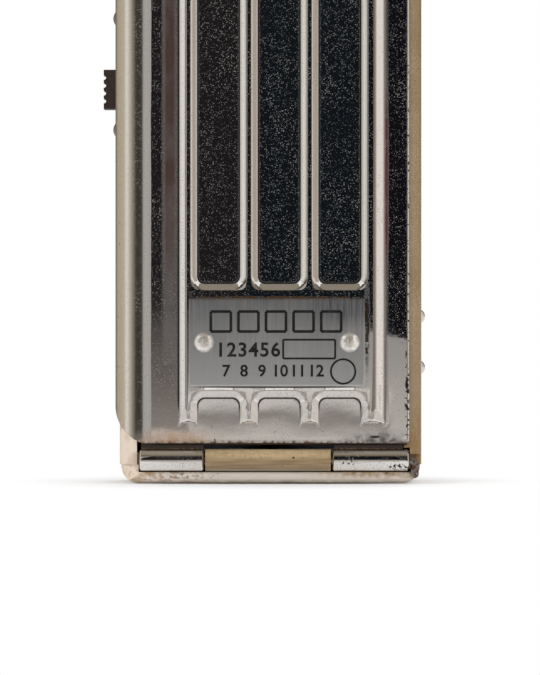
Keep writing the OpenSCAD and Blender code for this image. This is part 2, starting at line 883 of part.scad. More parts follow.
module negative_contact() {
    z0 = board_z - strip_t;
    x1 = cell_x + strip_w / 2;
    y1 = lead_y + strip_w / 2;
    color(brass) {
        box([cell_x - strip_w / 2, cell_y - strip_w / 2, z0], [x1, y1, board_z]);
        box([block_x + strip_t + fit, lead_y - strip_w / 2, z0], [x1, y1, board_z]);
        translate([cell_x, cell_y, cell_top + touch])
            cylinder(d = stud_d, h = contact_h + cap_rise - touch - strip_t / 2);
    }
}

module centre_contact() {
    foot = board_z - strip_t;
    color(brass) on_drum(foot) cylinder(r = pin_r, h = pillar_top + bulb_lift - touch - foot);
}

module earth_strip() {
    y0 = drum_y + pillar_d / 2 + fit;
    y1 = board_screw_y + strip_w / 2;
    color(brass) difference() {
        union() {
            box([-strip_w / 2, y0, board_top], [strip_w / 2, y0 + strip_t, pillar_top + socket_flange_t]);
            box([-strip_w / 2, y0, board_top], [strip_w / 2, y1, board_top + strip_t]);
            box([-strip_w / 2, y1 - strip_w, board_top],
                [board_screw_x + strip_w / 2, y1, board_top + strip_t]);
        }
        translate([board_screw_x, board_screw_y, board_top - cut])
            cylinder(d = screw_d + 2 * fit, h = strip_t + 2 * cut);
    }
}

// Bulb

module bulb_pillar() {
    color(bakelite) on_drum(board_top) tube(pillar_d / 2, pin_r + fit, pillar_h);
}

module bulb_socket() {
    bore_r = bulb_base_d / 2 + fit;
    color(brass) on_drum(pillar_top) {
        tube(bore_r + socket_wall, bore_r, socket_h);
        tube(pillar_d / 2, bore_r, socket_flange_t);
    }
}

module bulb_mirror() {
    rim_r = mirror_r * sin(mirror_deg);
    arm_foot = pillar_top - pillar_h / 2;
    color(plating) on_drum(0) {
        translate([0, 0, lens_z]) rotate([90, 0, 0]) intersection() {
            difference() {
                sphere(mirror_r + mirror_t);
                sphere(mirror_r);
            }
            cylinder(r1 = 0, r2 = 2 * mirror_r * tan(mirror_deg), h = 2 * mirror_r);
        }
        box([-arm_w / 2, -arm_y - arm_t, arm_foot], [arm_w / 2, -arm_y, lens_z - rim_r + arm_t]);
    }
}

module bulb_base() {
    color(brass) on_drum(pillar_top + bulb_lift) cylinder(d = bulb_base_d, h = socket_h);
}

module bulb_glass() {
    foot = pillar_top + bulb_lift + socket_h;
    color(glass, 0.4) on_drum(0) difference() {
        union() {
            translate([0, 0, bulb_z]) sphere(d = bulb_d);
            translate([0, 0, foot]) cylinder(r = neck_r, h = bulb_z - foot);
        }
        translate([0, 0, bulb_z]) sphere(d = bulb_d - 2 * bulb_glass_t);
        translate([0, 0, foot - cut]) cylinder(r = neck_r - bulb_glass_t, h = bulb_z - foot + cut);
    }
}

module bulb_filament() {
    foot = pillar_top + bulb_lift + socket_h;
    color(steel) on_drum(0) {
        for (s = [-1, 1]) translate([s * filament_w / 2, 0, foot])
            cylinder(r = filament_r, h = lens_z - foot);
        along_x(-filament_w / 2, 0, lens_z) cylinder(r = filament_r, h = filament_w);
    }
}

// Lens and its mounting

module lens_collar() {
    color(paint) on_lens() tube(collar_out, collar_in, lens_front);
}

module lens_seal() {
    color(rubber) on_lens() tube(lens_d / 2, lens_clear_d / 2, seal_t);
}

module lens() {
    dome_d = lens_d - 2 * lens_land;
    color(glass, 0.5) on_lens() translate([0, 0, seal_t]) {
        cylinder(d = lens_d, h = lens_rim);
        translate([0, 0, lens_rim]) dome(dome_d, lens_rise);
    }
}

module lens_bezel() {
    lip_r = lens_d / 2 - lens_land + room;
    color(plating) on_lens() rotate_extrude() polygon([
        [bezel_in, bezel_foot], [bezel_out, bezel_foot], [bezel_out, bezel_h - bezel_chamfer],
        [bezel_out - bezel_chamfer, bezel_h], [lip_r, bezel_h], [lip_r, bezel_h - bezel_lip],
        [bezel_in, bezel_h - bezel_lip]
    ]);
}

// Colour drum and its selector

// A sector of a ring, centred on an angle from +X
module sector(r_in, r_out, h, middle, width) {
    rotate([0, 0, middle - width / 2]) rotate_extrude(angle = width)
        translate([r_in, 0]) square([r_out - r_in, h]);
}

module drum_frame() {
    low = lens_z - pane_h / 2;
    color(tinplate) on_drum(0) difference() {
        union() {
            translate([0, 0, low - drum_plate]) tube(drum_r, drum_bore / 2, drum_plate);
            translate([0, 0, low + pane_h]) cylinder(r = drum_r, h = drum_plate);
            translate([0, 0, drum_top]) cylinder(d = hub_d, h = hub_h);
            for (i = [0 : pane_n - 1]) translate([0, 0, low - drum_plate / 2])
                sector(post_in_r, post_out_r, pane_h + drum_plate, first_post + i * pane_step, post_deg);
        }
        translate([0, 0, low + pane_h - cut])
            cylinder(d = shaft_d + 2 * drive_fit, h = drum_plate + hub_h + 2 * cut);
        for (i = [0 : pane_n - 1]) rotate([0, 0, i * pane_step])
            translate([detent_r, 0, drum_top - drum_plate / 2])
                cylinder(r = detent_ball_r, h = drum_plate);
    }
}

// A pane, a number of steps round from the first post
module pane(steps) {
    on_drum(lens_z - pane_h / 2 + fit)
        sector(pane_r - pane_t, pane_r, pane_h - 2 * fit, first_post + steps * pane_step, pane_deg);
}

module red_pane() { color(red, 0.7) pane(1.5); }

module green_pane() { color(green, 0.7) pane(2.5); }

module selector_shaft() {
    foot = lens_z + pane_h / 2;
    color(steel) on_drum(foot) cylinder(d = shaft_d, h = knob_top - knob_roof - fit - foot);
}

module selector_knob() {
    color(bakelite) on_drum(0) difference() {
        union() {
            translate([0, 0, knob_z]) cylinder(d = knob_d, h = knob_h);
            box([-pointer_w / 2, 0, knob_top - cut],
                [pointer_w / 2, knob_d / 2 - scallop_r, knob_top + pointer_h]);
        }
        translate([0, 0, knob_z - cut])
            cylinder(d = shaft_d + 2 * drive_fit, h = knob_h - knob_roof + cut);
        for (i = [0 : knob_scallops - 1]) rotate([0, 0, (i + 0.5) * 360 / knob_scallops])
            translate([knob_d / 2 + scallop_r / 3, 0, knob_z - cut])
                cylinder(r = scallop_r, h = knob_h + 2 * cut);
        translate([0, 0, knob_z + knob_h / 2]) rotate([90, 0, 0])
            cylinder(d = grub_d + 2 * drive_fit, h = knob_d);
    }
}

module knob_screw() {
    color(steel) on_drum(knob_z + knob_h / 2) translate([0, -shaft_d / 2 - touch, 0]) rotate([90, 0, 0])
        cylinder(d = grub_d, h = (knob_d - shaft_d) / 2 - cut);
}

module colour_dial() {
    color(tinplate) on_drum(case_h) tube(dial_d / 2, bush_d / 2 + fit, dial_t);
}

module shaft_bush() {
    color(brass) on_drum(0) difference() {
        union() {
            translate([0, 0, bush_foot]) cylinder(d = bush_d, h = bush_top - bush_foot);
            translate([0, 0, bush_top - bush_flange_t]) cylinder(d = bush_flange_d, h = bush_flange_t);
        }
        translate([0, 0, bush_foot - cut])
            cylinder(d = shaft_d + 2 * run_fit, h = bush_top - bush_foot + 2 * cut);
    }
}

module bush_nut() {
    color(brass) on_drum(cap_under - detent_t - nut_h) difference() {
        cylinder(d = nut_d, h = nut_h, $fn = 6);
        translate([0, 0, -cut]) cylinder(d = bush_d + 2 * drive_fit, h = nut_h + 2 * cut);
    }
}

module detent_spring() {
    tip = drum_top + room + detent_ball_r;
    end = detent_r + detent_t / 2;
    half = detent_w / 2;
    color(steel) on_drum(0) {
        difference() {
            union() {
                translate([0, 0, cap_under - detent_t]) cylinder(d = detent_ring_d, h = detent_t);
                box([0, -half, cap_under - detent_t], [end, half, cap_under]);
            }
            translate([0, 0, cap_under - detent_t - cut])
                cylinder(d = bush_d + 2 * fit, h = detent_t + 2 * cut);
        }
        box([end - detent_t, -half, tip], [end, half, cap_under]);
        translate([detent_r, 0, tip]) sphere(detent_ball_r);
    }
}

// Switch

module switch_plate() {
    x0 = left - switch_plate_t;
    color(plating) difference() {
        translate([x0, switch_y, switch_z]) rotate([90, 0, 90]) linear_extrude(switch_plate_t)
            rounded(-switch_w / 2, switch_w / 2, -switch_l / 2, switch_l / 2, switch_w / 4, switch_w / 4);
        box([x0 - cut, switch_y - stem_w / 2 - slot_clear, switch_z - slot_l / 2],
            [left + cut, switch_y + stem_w / 2 + slot_clear, switch_z + slot_l / 2]);
        for (s = [-1, 1]) along_x(x0 - cut, switch_y, switch_z + s * switch_screw_z)
            cylinder(d = screw_d + 2 * fit, h = switch_plate_t + 2 * cut);
    }
}

module switch_thumb() {
    x1 = left - switch_plate_t - slot_clear;
    x0 = x1 - thumb_h;
    groove_step = thumb_l / (thumb_ribs + 1);
    groove_z = switch_rest - (thumb_ribs - 1) * groove_step / 2;
    color(bakelite) {
        difference() {
            box([x0, switch_y - slider_w / 2, switch_rest - thumb_l / 2],
                [x1, switch_y + slider_w / 2, switch_rest + thumb_l / 2]);
            for (i = [0 : thumb_ribs - 1])
                along_y(x0, switch_y - slider_w / 2 - cut, groove_z + i * groove_step)
                    cylinder(r = thumb_rib_r, h = slider_w + 2 * cut);
        }
        box([x1 - thumb_h / 2, switch_y - stem_w / 2, switch_rest - stem_l / 2],
            [slider_x + slider_t / 2, switch_y + stem_w / 2, switch_rest + stem_l / 2]);
        box([slider_x, switch_y - slider_w / 2, switch_rest - slider_l / 2],
            [slider_x + slider_t, switch_y + slider_w / 2, switch_rest + slider_l / 2]);
    }
}

module switch_block() {
    x1 = block_x + block_t;
    color(bakelite) difference() {
        box([left + wall + fit, switch_y - switch_w / 2, switch_z - switch_l / 2],
            [x1, switch_y + switch_w / 2, switch_z + switch_l / 2]);
        box([left, switch_y - switch_w, switch_z - bay_l / 2],
            [block_x, switch_y + switch_w, switch_z + bay_l / 2]);
        box([block_x - cut, lead_y - strip_w / 2 - fit, switch_z - switch_l],
            [block_x + strip_t + fit, lead_y + strip_w / 2 + fit, switch_z + bay_l / 2]);
        for (s = [-1, 1]) along_x(left, switch_y, switch_z + s * switch_screw_z)
            cylinder(d = screw_d + 2 * fit, h = wall + 2 * block_t + 2 * cut);
    }
}

module switch_contact() {
    color(brass) difference() {
        box([block_x, lead_y - strip_w / 2, board_z - strip_t],
            [block_x + strip_t, lead_y + strip_w / 2, switch_z + bay_l / 2 - fit]);
        along_x(block_x - cut, switch_y, switch_z - switch_screw_z)
            cylinder(d = screw_d + 4 * fit, h = strip_t + 2 * cut);
    }
}

module switch_screws() {
    grip = switch_plate_t + wall + fit + block_x + block_t - left - wall;
    color(steel) for (s = [-1, 1])
        translate([left - switch_plate_t, switch_y, switch_z + s * switch_screw_z])
            rotate([0, -90, 0]) screw(grip);
}

// Handle

// The handle's strip seen from behind, drawn in by an inset
module bail_outline(inset) {
    r = handle_bend_r - inset;
    half = handle_half - inset;
    rounded(-half, half, handle_z - 2 * handle_bend_r, handle_top - inset, r, r);
}

module handle_bail() {
    color(plating) difference() {
        union() {
            intersection() {
                across(-handle_w / 2, handle_w / 2) difference() {
                    bail_outline(0);
                    bail_outline(handle_t);
                }
                box([-case_w, -case_d, handle_z], [case_w, case_d, handle_top + cut]);
            }
            for (x = [-handle_half, arm_x]) along_x(x, 0, handle_z) cylinder(d = eye_d, h = handle_t);
        }
        along_x(-handle_half - cut, 0, handle_z)
            cylinder(d = pivot_d + 2 * run_fit, h = 2 * handle_half + 2 * cut);
    }
}

module handle_grip() {
    z = handle_top - handle_t / 2;
    color(rubber) difference() {
        along_x(-grip_l / 2, 0, z) cylinder(d = grip_d, h = grip_l);
        box([-grip_l, -handle_w / 2 - drive_fit, z - handle_t / 2 - drive_fit],
            [grip_l, handle_w / 2 + drive_fit, z + handle_t / 2 + drive_fit]);
    }
}

module handle_spacers() {
    color(steel) for (x = [left - spacer_t, right]) along_x(x, 0, handle_z)
        tube(spacer_d / 2, pivot_d / 2 + fit, spacer_t);
}

module handle_pivots() {
    grip = wall + spacer_t + fit + handle_t + fit;
    color(steel) for (side = [0, 1]) mirror([side, 0, 0]) along_x(handle_half + fit, 0, handle_z)
        rivet(pivot_head_d, pivot_head_h, pivot_d, grip, pivot_head_d, pivot_tail_h);
}

case_body();
bottom_pan();
top_cap();
hinge_leaf();
hinge_pin();
door_catch();
door_panel();
door_tongue();
name_plate();
name_plate_rivets();
cell_spring();
cell_spring_rivets();
fibre_pad();
bridge_contact();
cell_left();
cell_right();
battery_liner();
board_shelf();
contact_board();
board_screws();
positive_contact();
negative_contact();
centre_contact();
earth_strip();
bulb_pillar();
bulb_socket();
bulb_mirror();
bulb_base();
bulb_glass();
bulb_filament();
lens_collar();
lens_seal();
lens();
lens_bezel();
drum_frame();
red_pane();
green_pane();
selector_shaft();
selector_knob();
knob_screw();
colour_dial();
shaft_bush();
bush_nut();
detent_spring();
switch_plate();
switch_thumb();
switch_block();
switch_contact();
switch_screws();
handle_bail();
handle_grip();
handle_spacers();
handle_pivots();
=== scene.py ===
# Looks of the hand signal lamp: its plated door, painted case, lens, selector, switch, handle and inside.
# Sizes are in millimetres and become metres where a mesh is made. X is right seen from behind, Y the way the
# lamp shines and Z up; the origin is on the table under the middle of the case.
import math

import bmesh
import bpy
import numpy as np
from mathutils import Matrix, Vector


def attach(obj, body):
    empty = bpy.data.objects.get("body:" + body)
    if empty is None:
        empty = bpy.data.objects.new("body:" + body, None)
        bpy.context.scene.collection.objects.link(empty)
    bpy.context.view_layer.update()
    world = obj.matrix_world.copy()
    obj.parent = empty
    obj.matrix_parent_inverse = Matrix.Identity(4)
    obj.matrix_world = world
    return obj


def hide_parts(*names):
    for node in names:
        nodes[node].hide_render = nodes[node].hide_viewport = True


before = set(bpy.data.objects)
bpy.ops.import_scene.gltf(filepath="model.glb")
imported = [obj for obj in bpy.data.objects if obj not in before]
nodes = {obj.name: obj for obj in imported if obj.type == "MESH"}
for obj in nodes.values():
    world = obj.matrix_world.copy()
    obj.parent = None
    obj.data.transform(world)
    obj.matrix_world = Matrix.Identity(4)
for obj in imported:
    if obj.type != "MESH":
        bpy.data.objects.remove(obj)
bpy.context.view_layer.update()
scene = bpy.context.scene
scene.view_settings.view_transform = "Standard"

MM = 0.001
# Sockets of a colour Mix node and of a Map Range node
FACTOR, FIRST, SECOND, MIXED = 0, 6, 7, 2
FROM_LOW, FROM_HIGH, TO_LOW, TO_HIGH = 1, 2, 3, 4
# Orders of the axes that lay a part drawn along Z along X or along Y
ALONG_X, ALONG_Y = [2, 0, 1], [1, 2, 0]

# Case
CASE_LEFT = -38.0

# Door sheet
SHEET = 0.8
DOOR_FACE = -23.1
DOOR_LEFT, DOOR_RIGHT, DOOR_FOOT, DOOR_TOP = -39.1, 34.8, 9.7, 141.0
DOOR_CORNER, DOOR_RIGHT_CORNER = 10.0, 1.0
BEND_X, BEND_Y, BEND_R = -30.5, -14.5, 8.6
FLANGE_END = -10.0
RIM_WIDTH, RIM_DROP = 0.5, 0.3

# Ribs and windows pressed into the door
RISE = 1.4
FLANK, END_FLANK, FILLET = 1.9, 3.2, 0.14
RIB, END_RIB = 4.8, 6.4
WINDOW, WINDOW_CORNER, WINDOWS = 10.4, 1.8, 3
WINDOW_STEP = WINDOW + RIB
WINDOW_X0 = -18.2
WINDOW_LEFTS = [WINDOW_X0 + i * WINDOW_STEP for i in range(WINDOWS)]
PANEL_LEFT = WINDOW_X0 - RIB
PANEL_RIGHT = WINDOW_X0 + WINDOWS * WINDOW_STEP - RIB + END_RIB
PANEL_TOP, HEAD_BAND = 128.5, 4.6
BAND_LOW, BAND_HIGH = 21.4, 50.2
TIP_FOOT, TIP_TOP, TIP_STEEPNESS = 15.1, 17.0, 4

# Grime and painted shade at the foot of the pressed flanks: its width, the furthest it is looked for, the
# height over which it grows up from the rib tips, its least and greatest cover, and its share at the rounded
# end flank
CREASE_WIDTH, CREASE_REACH, CREASE_GROWTH = 0.16, 0.6, 4
CREASE_LEAST, CREASE_COVER, CREASE_END_SHARE = 0.15, 0.75, 0.25

# Name plate and its print
PLATE_X, PLATE_Z, PLATE_W, PLATE_H = 1.6, 35.4, 44.0, 22.0
PLATE_FACE, PLATE_T = -25.0, 0.5
PLATE_EASE, PLATE_EASE_WIDTH = 0.2, 0.5
PLATE_RIVET, RIVET_PULL = 18.2, 0.06
PRINT_T = 0.04
PRINT_Y = PLATE_FACE - PRINT_T / 2

# Hinge
HINGE_Y, HINGE_Z, KNUCKLE, WIRE, WIRE_ROOM = -22.6, 5.9, 2.7, 1.05, 0.05
LEFT_KNUCKLE = (-32.7, -16.8)
RIGHT_KNUCKLE = (15.6, 34.6)
NECK_RIGHT, NECK_FRONT, NECK_BACK, NECK_RISE, NECK_LAP = 33.2, -22.3, -21.5, 1.6, 0.9
WIRE_LEG, WIRE_TIP = 36.15, 1.3

# Lens, selector, switch and cells
LENS_Z, LENS_R, LENS_BACK, LENS_RIM = 104.4, 27.5, 23.5, 3.0
DRUM_Y, DIAL_TOP, KNOB_TOP = -1.85, 148.58, 158.7
SWITCH_Y, SWITCH_Z, SWITCH_PLATE = 7.5, 104.2, 0.8
CELL_X, CELL_Y, CELL_FOOT, CELL_R, CELL_H = 16.8, -2.9, 7.4, 16.5, 60.0


def linear(colour):
    """An sRGB colour such as A38873 as linear RGBA."""
    parts = [int(colour[i:i + 2], 16) / 255 for i in (0, 2, 4)]
    return [p / 12.92 if p <= 0.04045 else ((p + 0.055) / 1.055) ** 2.4 for p in parts] + [1]


def per(size):
    """The scale that gives a pattern features of a size in millimetres."""
    return 1 / (size * MM)


# Materials


def join(node, inputs):
    """Gives a node's inputs their values, their sRGB colours or the sockets that feed them."""
    for key, value in inputs.items():
        if isinstance(value, bpy.types.NodeSocket):
            node.id_data.links.new(value, node.inputs[key])
        else:
            node.inputs[key].default_value = linear(value) if isinstance(value, str) else value


def add(tree, kind, inputs=None, **settings):
    """Adds a node with its settings, joins its inputs and gives its outputs."""
    made = tree.nodes.new(kind)
    for key, value in settings.items():
        setattr(made, key, value)
    join(made, inputs or {})
    return made.outputs


def product(*factors):
    """The product of factors: masks, numbers, or a mask with the low and high value that it stands for."""
    result = None
    for factor in factors:
        if isinstance(factor, tuple):
            mask, low, high = factor
            factor = add(mask.id_data, "ShaderNodeMapRange", {"Value": mask, TO_LOW: low, TO_HIGH: high})[0]
        if result is None:
            result = factor
        else:
            result = add(result.id_data, "ShaderNodeMath", {0: result, 1: factor}, operation="MULTIPLY")[0]
    return result


def coated(colour, *coats):
    """A colour under coats, each given as the mask of where it lies and its own colour."""
    for mask, coat in coats:
        layers = {FACTOR: mask, FIRST: colour, SECOND: coat}
        colour = add(mask.id_data, "ShaderNodeMix", layers, data_type="RGBA")[MIXED]
    return colour


def feed(shader, *bumps, **inputs):
    """Feeds the shader's inputs with colours and factors, and bumps its face by masks with depths in mm."""
    for key, value in inputs.items():
        join(shader, {key.replace("_", " "): product(value)})
    below = {}
    for mask, depth in bumps:
        layer = {"Height": mask, "Distance": depth * MM, **below}
        below = {"Normal": add(shader.id_data, "ShaderNodeBump", layer)[0]}
    join(shader, below)


def finish(name, **constants):
    """A new material, its surface shader and the place on the piece in metres."""
    material = bpy.data.materials.new(name)
    material.use_nodes = True
    shader = material.node_tree.nodes["Principled BSDF"]
    feed(shader, **constants)
    return material, shader, add(material.node_tree, "ShaderNodeTexCoord")["Object"]


def mottle(place, size, low, high, detail=3.0, stretch=(1, 1, 1)):
    """Cloudy patches of a size: 0 where the noise is below low and 1 where it is above high."""
    tree = place.id_data
    at = add(tree, "ShaderNodeMapping", {"Vector": place, "Scale": stretch})[0]
    noise = add(tree, "ShaderNodeTexNoise", {"Vector": at, "Scale": per(size), "Detail": detail})[0]
    return add(tree, "ShaderNodeMapRange", {"Value": noise, FROM_LOW: low, FROM_HIGH: high})[0]


def specks(place, pitch, radius):
    """Round specks strewn at random about a pitch apart, each of its own strength."""
    tree = place.id_data
    spots = add(tree, "ShaderNodeTexVoronoi", {"Vector": place, "Scale": per(pitch)})
    strength = add(tree, "ShaderNodeSeparateColor", {0: spots["Color"]})[0]
    ends = {"Value": spots["Distance"], FROM_LOW: radius / pitch, FROM_HIGH: 0}
    near = add(tree, "ShaderNodeMapRange", ends)[0]
    return product(near, strength, strength)


def grade(place, way, start, end, blend="SMOOTHSTEP"):
    """A mask that grows from 0 to 1 between two places along X, Y or Z, or between two distances outwards."""
    tree = place.id_data
    if way == "OUT":
        along = add(tree, "ShaderNodeVectorMath", {0: place}, operation="LENGTH")["Value"]
    else:
        along = add(tree, "ShaderNodeSeparateXYZ", {0: place})[way]
    ends = {"Value": along, FROM_LOW: start, FROM_HIGH: end}
    return add(tree, "ShaderNodeMapRange", ends, interpolation_type=blend)[0]


def patch(place, centre, half, edge):
    """An oval stain seen from behind: 1 inside, fading to 0 over a share of its half sizes."""
    scale = [per(half[0]), 0, per(half[1])]
    shift = [-centre[0] / half[0], 0, -centre[1] / half[1]]
    at = add(place.id_data, "ShaderNodeMapping", {"Vector": place, "Scale": scale, "Location": shift})[0]
    return grade(at, "OUT", 1 + edge, 1 - edge)


def streak(place, middle, half, foot, top):
    """An upright run of grime seen from behind, which fades out downwards between two heights."""
    unbounded, softness = 1000, 0.5
    across = patch(place, (middle, 0), (half, unbounded), softness)
    return product(across, grade(place, "Z", foot * MM, top * MM))


def stained_and_shaded(place, stains_and_painted_light):
    """Pairs of the mask and the colour of ragged patches of stain, and of painted light and shade."""
    found = []
    for centre, half, edge, patch_colour, cover, size, low, high in stains_and_painted_light:
        ragged = mottle(place, size, low, high, 4)
        found.append((product(patch(place, centre, half, edge), ragged, cover), patch_colour))
    return found


# Patches of stain, and of painted light and shade: centre, half sizes, softness of the edge, colour, cover,
# size of the ragged grain and its two levels
ENAMEL_STAINS_AND_PAINTED_LIGHT = (
    # Pale cream over the left rear corner is painted light: that corner stands lit strongly from the left.
    ((-37, 7), (6, 9), 0.35, "DECDBD", 0.9, 6, 0.1, 0.5),
    ((37.5, 8), (4, 10), 0.5, "83622F", 0.8, 1.2, 0.3, 0.6),
    ((-25, 2.4), (11, 2.0), 0.5, "8A6A44", 0.9, 1.0, 0.5, 0.66),
    ((-32, 1.6), (5, 2.6), 0.6, "B08A5C", 0.7, 2.0, 0.35, 0.6),
    ((26, 2.9), (13, 1.6), 0.6, "A0804E", 0.8, 1.6, 0.3, 0.6),
    ((0, 0.2), (60, 0.7), 0.5, "A8927C", 0.6, 4, 0.2, 0.6),
    # A lighter band along the top of the hinge knuckle is a painted highlight from the light above.
    ((0, 7.6), (18, 1.3), 0.6, "BCA57F", 0.7, 0.8, 0.2, 0.6),
)
DOOR_STAINS_AND_PAINTED_LIGHT = (
    ((-24, 10.7), (8.5, 2.5), 0.9, "BC9E84", 0.36, 3, 0.1, 0.55),
    ((0, 9.9), (50, 0.7), 0.8, "6E5438", 0.6, 1.2, 0.4, 0.65),
    ((28, 10.8), (8, 1.8), 0.9, "5E5853", 0.45, 2.4, 0.3, 0.65),
    ((26.2, 11.7), (1.0, 0.25), 0.5, "1E1B18", 1.0, 1.2, 0.1, 0.4),
    # A thin beige film down the bend: some tarnish, and a painted warm reflection.
    ((-36.4, 60), (1.9, 90), 0.5, "C0B59E", 0.14, 3, -1.0, 0.0),
    ((-38.8, 40), (0.9, 60), 0.5, "2E2721", 0.8, 0.8, 0.68, 0.73),
    # A dark line beside the plate's right edge: a painted shadow.
    ((24.2, 40), (0.5, 9), 0.9, "3A3028", 0.7, 1.0, 0.3, 0.6),
    ((1.6, 46.6), (20, 0.3), 0.1, "5A4028", 0.7, 0.9, 0.35, 0.6),
    # A dark line under the plate's lower edge: a painted shadow.
    ((1.6, 24.2), (19, 0.25), 0.25, "4A443E", 0.9, 2, 0.1, 0.4),
    ((29.1, 76), (0.4, 20), 0.8, "8A5457", 0.5, 6, 0.2, 0.5),
    ((31.5, 66), (4, 32), 0.5, "D8D4CE", 0.9, 0.8, 0.70, 0.74),
    ((34.4, 40), (0.5, 60), 0.5, "1C1815", 0.9, 0.7, 0.57, 0.64),
    ((34.3, 20), (0.6, 6), 0.5, "1C1815", 0.9, 1.2, 0.55, 0.6),
    ((2, 13), (34, 4), 0.5, "332F2B", 0.9, 0.9, 0.70, 0.74),
    # A dark brown band over the neck and the door's foot: grime, and painted shade in the hinge gap.
    ((0, 9.2), (80, 0.85), 0.35, "281A10", 1.0, 3, 0.0, 0.1),
    ((0, 8.6), (50, 0.35), 0.6, "554230", 0.4, 0.6, 0.42, 0.66),
    ((32.4, 4.1), (2.2, 0.7), 0.5, "1C1815", 0.9, 0.7, 0.5, 0.58),
    ((19.4, 5.4), (1.8, 0.6), 0.5, "1C1815", 0.9, 0.6, 0.55, 0.62),
)
# Smear down the left margin of the door: its middle, half width, foot and top
SMEAR = (-25.2, 1.6, 22, 66)
# Cover at which a film of grime or of painted shade already has its own colour, because a thin film stays
# visible on a mirror
THIN_FILM = 0.35
# Shares of the mirror left under full dust, under stain patches and painted light and shade, and under the
# grime and painted shade in the creases
DUST_LEFT, STAIN_AND_SHADE_LEFT, GRIME_AND_SHADE_LEFT = 0.3, 0.05, 0.2


def pitted_plating(name, stains_and_painted_light=()):
    """Nickel and chrome plating on pressed steel. The eye sees a mirror under a sparse bloom of pits,
    which look like dust in dark reflections and like pepper in bright ones."""
    material, shader, place = finish(name)
    bloom = mottle(place, 9, 0.38, 0.66)
    dust = product(specks(place, 0.42, 0.2), (bloom, 0.3, 1.1))
    films = [(dust, "B4AFA9", DUST_LEFT)]
    # Patches on the door include painted shadows beside and under the plate, painted shade in the hinge gap
    # and a painted reflection on the bend.
    films += [(mask, patch_colour, STAIN_AND_SHADE_LEFT) for mask, patch_colour in stained_and_shaded(place, stains_and_painted_light)]
    if stains_and_painted_light:
        smear = product(streak(place, *SMEAR), (bloom, 0.36, 0.3))
        crease_grime_and_shade = add(shader.id_data, "ShaderNodeAttribute", attribute_name="crease_grime_and_shade")["Fac"]
        # The coat along the foot of each pressed flank is grime and painted shade.
        films += [(smear, "6E5650", STAIN_AND_SHADE_LEFT), (crease_grime_and_shade, "2A241E", GRIME_AND_SHADE_LEFT)]
    coats = []
    for film, patch_colour, left in films:
        ends = {"Value": film, FROM_HIGH: THIN_FILM}
        coats.append((add(film.id_data, "ShaderNodeMapRange", ends)[0], patch_colour))
    metal = product(*[(film, 1, left) for film, patch_colour, left in films])
    feed(shader, (mottle(place, 24, 0, 1, 1), 0.06), (mottle(place, 3, 0, 1), 0.0015),
         Base_Color=coated("E2DFDC", *coats), Metallic=metal, Roughness=(bloom, 0.012, 0.03))
    return material


def stove_enamel(name, grow=(1, 1, 1), soot=0.5):
    """Khaki stove enamel over steel: a satin coat, faintly mottled and finely speckled, with small chips down
    to dark primer; behind, it is painted pale round the foot as painted light, marked by rust, and lighter as
    painted light at its left corner and along the top of the hinge knuckle. The mottling can be drawn out
    along one way."""
    side_y, back_y, foot_light_top, foot_light_full, foot_light_cover = -8, -16, 3.6, 2.2, 0.85
    material, shader, place = finish(name)
    clouds = mottle(place, 9, 0.3, 0.7, 5, grow)
    grain = mottle(place, 0.45, 0.35, 0.7, 2, grow)
    chips = mottle(place, 1.6, 0.71, 0.73, 4)
    behind = grade(place, "Y", side_y * MM, back_y * MM, "LINEAR")
    foot = grade(place, "Z", foot_light_top * MM, foot_light_full * MM, "LINEAR")
    # The near-white coat round the foot behind is painted light, as if the foot were lit from below.
    coats = [(clouds, "8E7758"), (product(grain, soot), "745E40"),
             (product(foot, behind, foot_light_cover), "F2EAE2")]
    coats += [(product(mask, behind), patch_colour) for mask, patch_colour in stained_and_shaded(place, ENAMEL_STAINS_AND_PAINTED_LIGHT)]
    coats.append((chips, "3E3226"))
    feed(shader, (clouds, 0.02), (grain, 0.008), (chips, -0.04), Base_Color=coated("9D876A", *coats),
         Roughness=(grain, 0.30, 0.46))
    return material


def brushed_plate(name, aged_and_shaded):
    """Nickel silver sheet brushed upwards: soft grey with fine upright grain. When weathered and shaded, it
    darkens towards its top as painted shade, and its top edge, which moisture has crept under, is rusty."""
    rusty_edge = 0.5
    material, shader, place = finish(name, Metallic=0.85, Anisotropic=0.5)
    grain = mottle(place, 0.35, 0.25, 0.75, 3, (1, 1, 0.04))
    cloud = mottle(place, 9, 0.35, 0.75)
    coats = []
    if aged_and_shaded:
        low, high = (PLATE_Z - PLATE_H / 2) * MM, (PLATE_Z + PLATE_H / 2) * MM
        # Darker towards the top of the plate: painted shade.
        rise = grade(place, "Z", low, high, "LINEAR")
        edge = grade(place, "Z", high - rusty_edge * MM, high, "LINEAR")
        damp = patch(place, (19, 44.5), (8, 4), 0.6)
        coats = [(rise, "787A7D"), (product(damp, (cloud, 0.5, 0.9)), "4C4E58"),
                 (product(edge, (grain, 0.5, 0.95)), "5A3A20")]
    coats.append((product(grain, (cloud, 0.15, 0.4)), "D8D7D5"))
    feed(shader, (grain, 0.004), (cloud, 0.01), Base_Color=coated("C0C2C4", *coats),
         Roughness=(grain, 0.36, 0.5))
    return material


def worn_metal(name, bright, dull, rough, grit=0.5, dent=0.01, metallic=1.0):
    """A plain metal, brighter where it rubs and duller where it has tarnished, with fine grit in its face."""
    material, shader, place = finish(name, Metallic=metallic)
    tarnish = mottle(place, 5, 0.35, 0.7, 5)
    fine = mottle(place, grit, 0.35, 0.7)
    feed(shader, (tarnish, 2 * dent), (fine, dent), Base_Color=coated(bright, (tarnish, dull)),
         Roughness=(fine, rough, rough + 0.2))
    return material


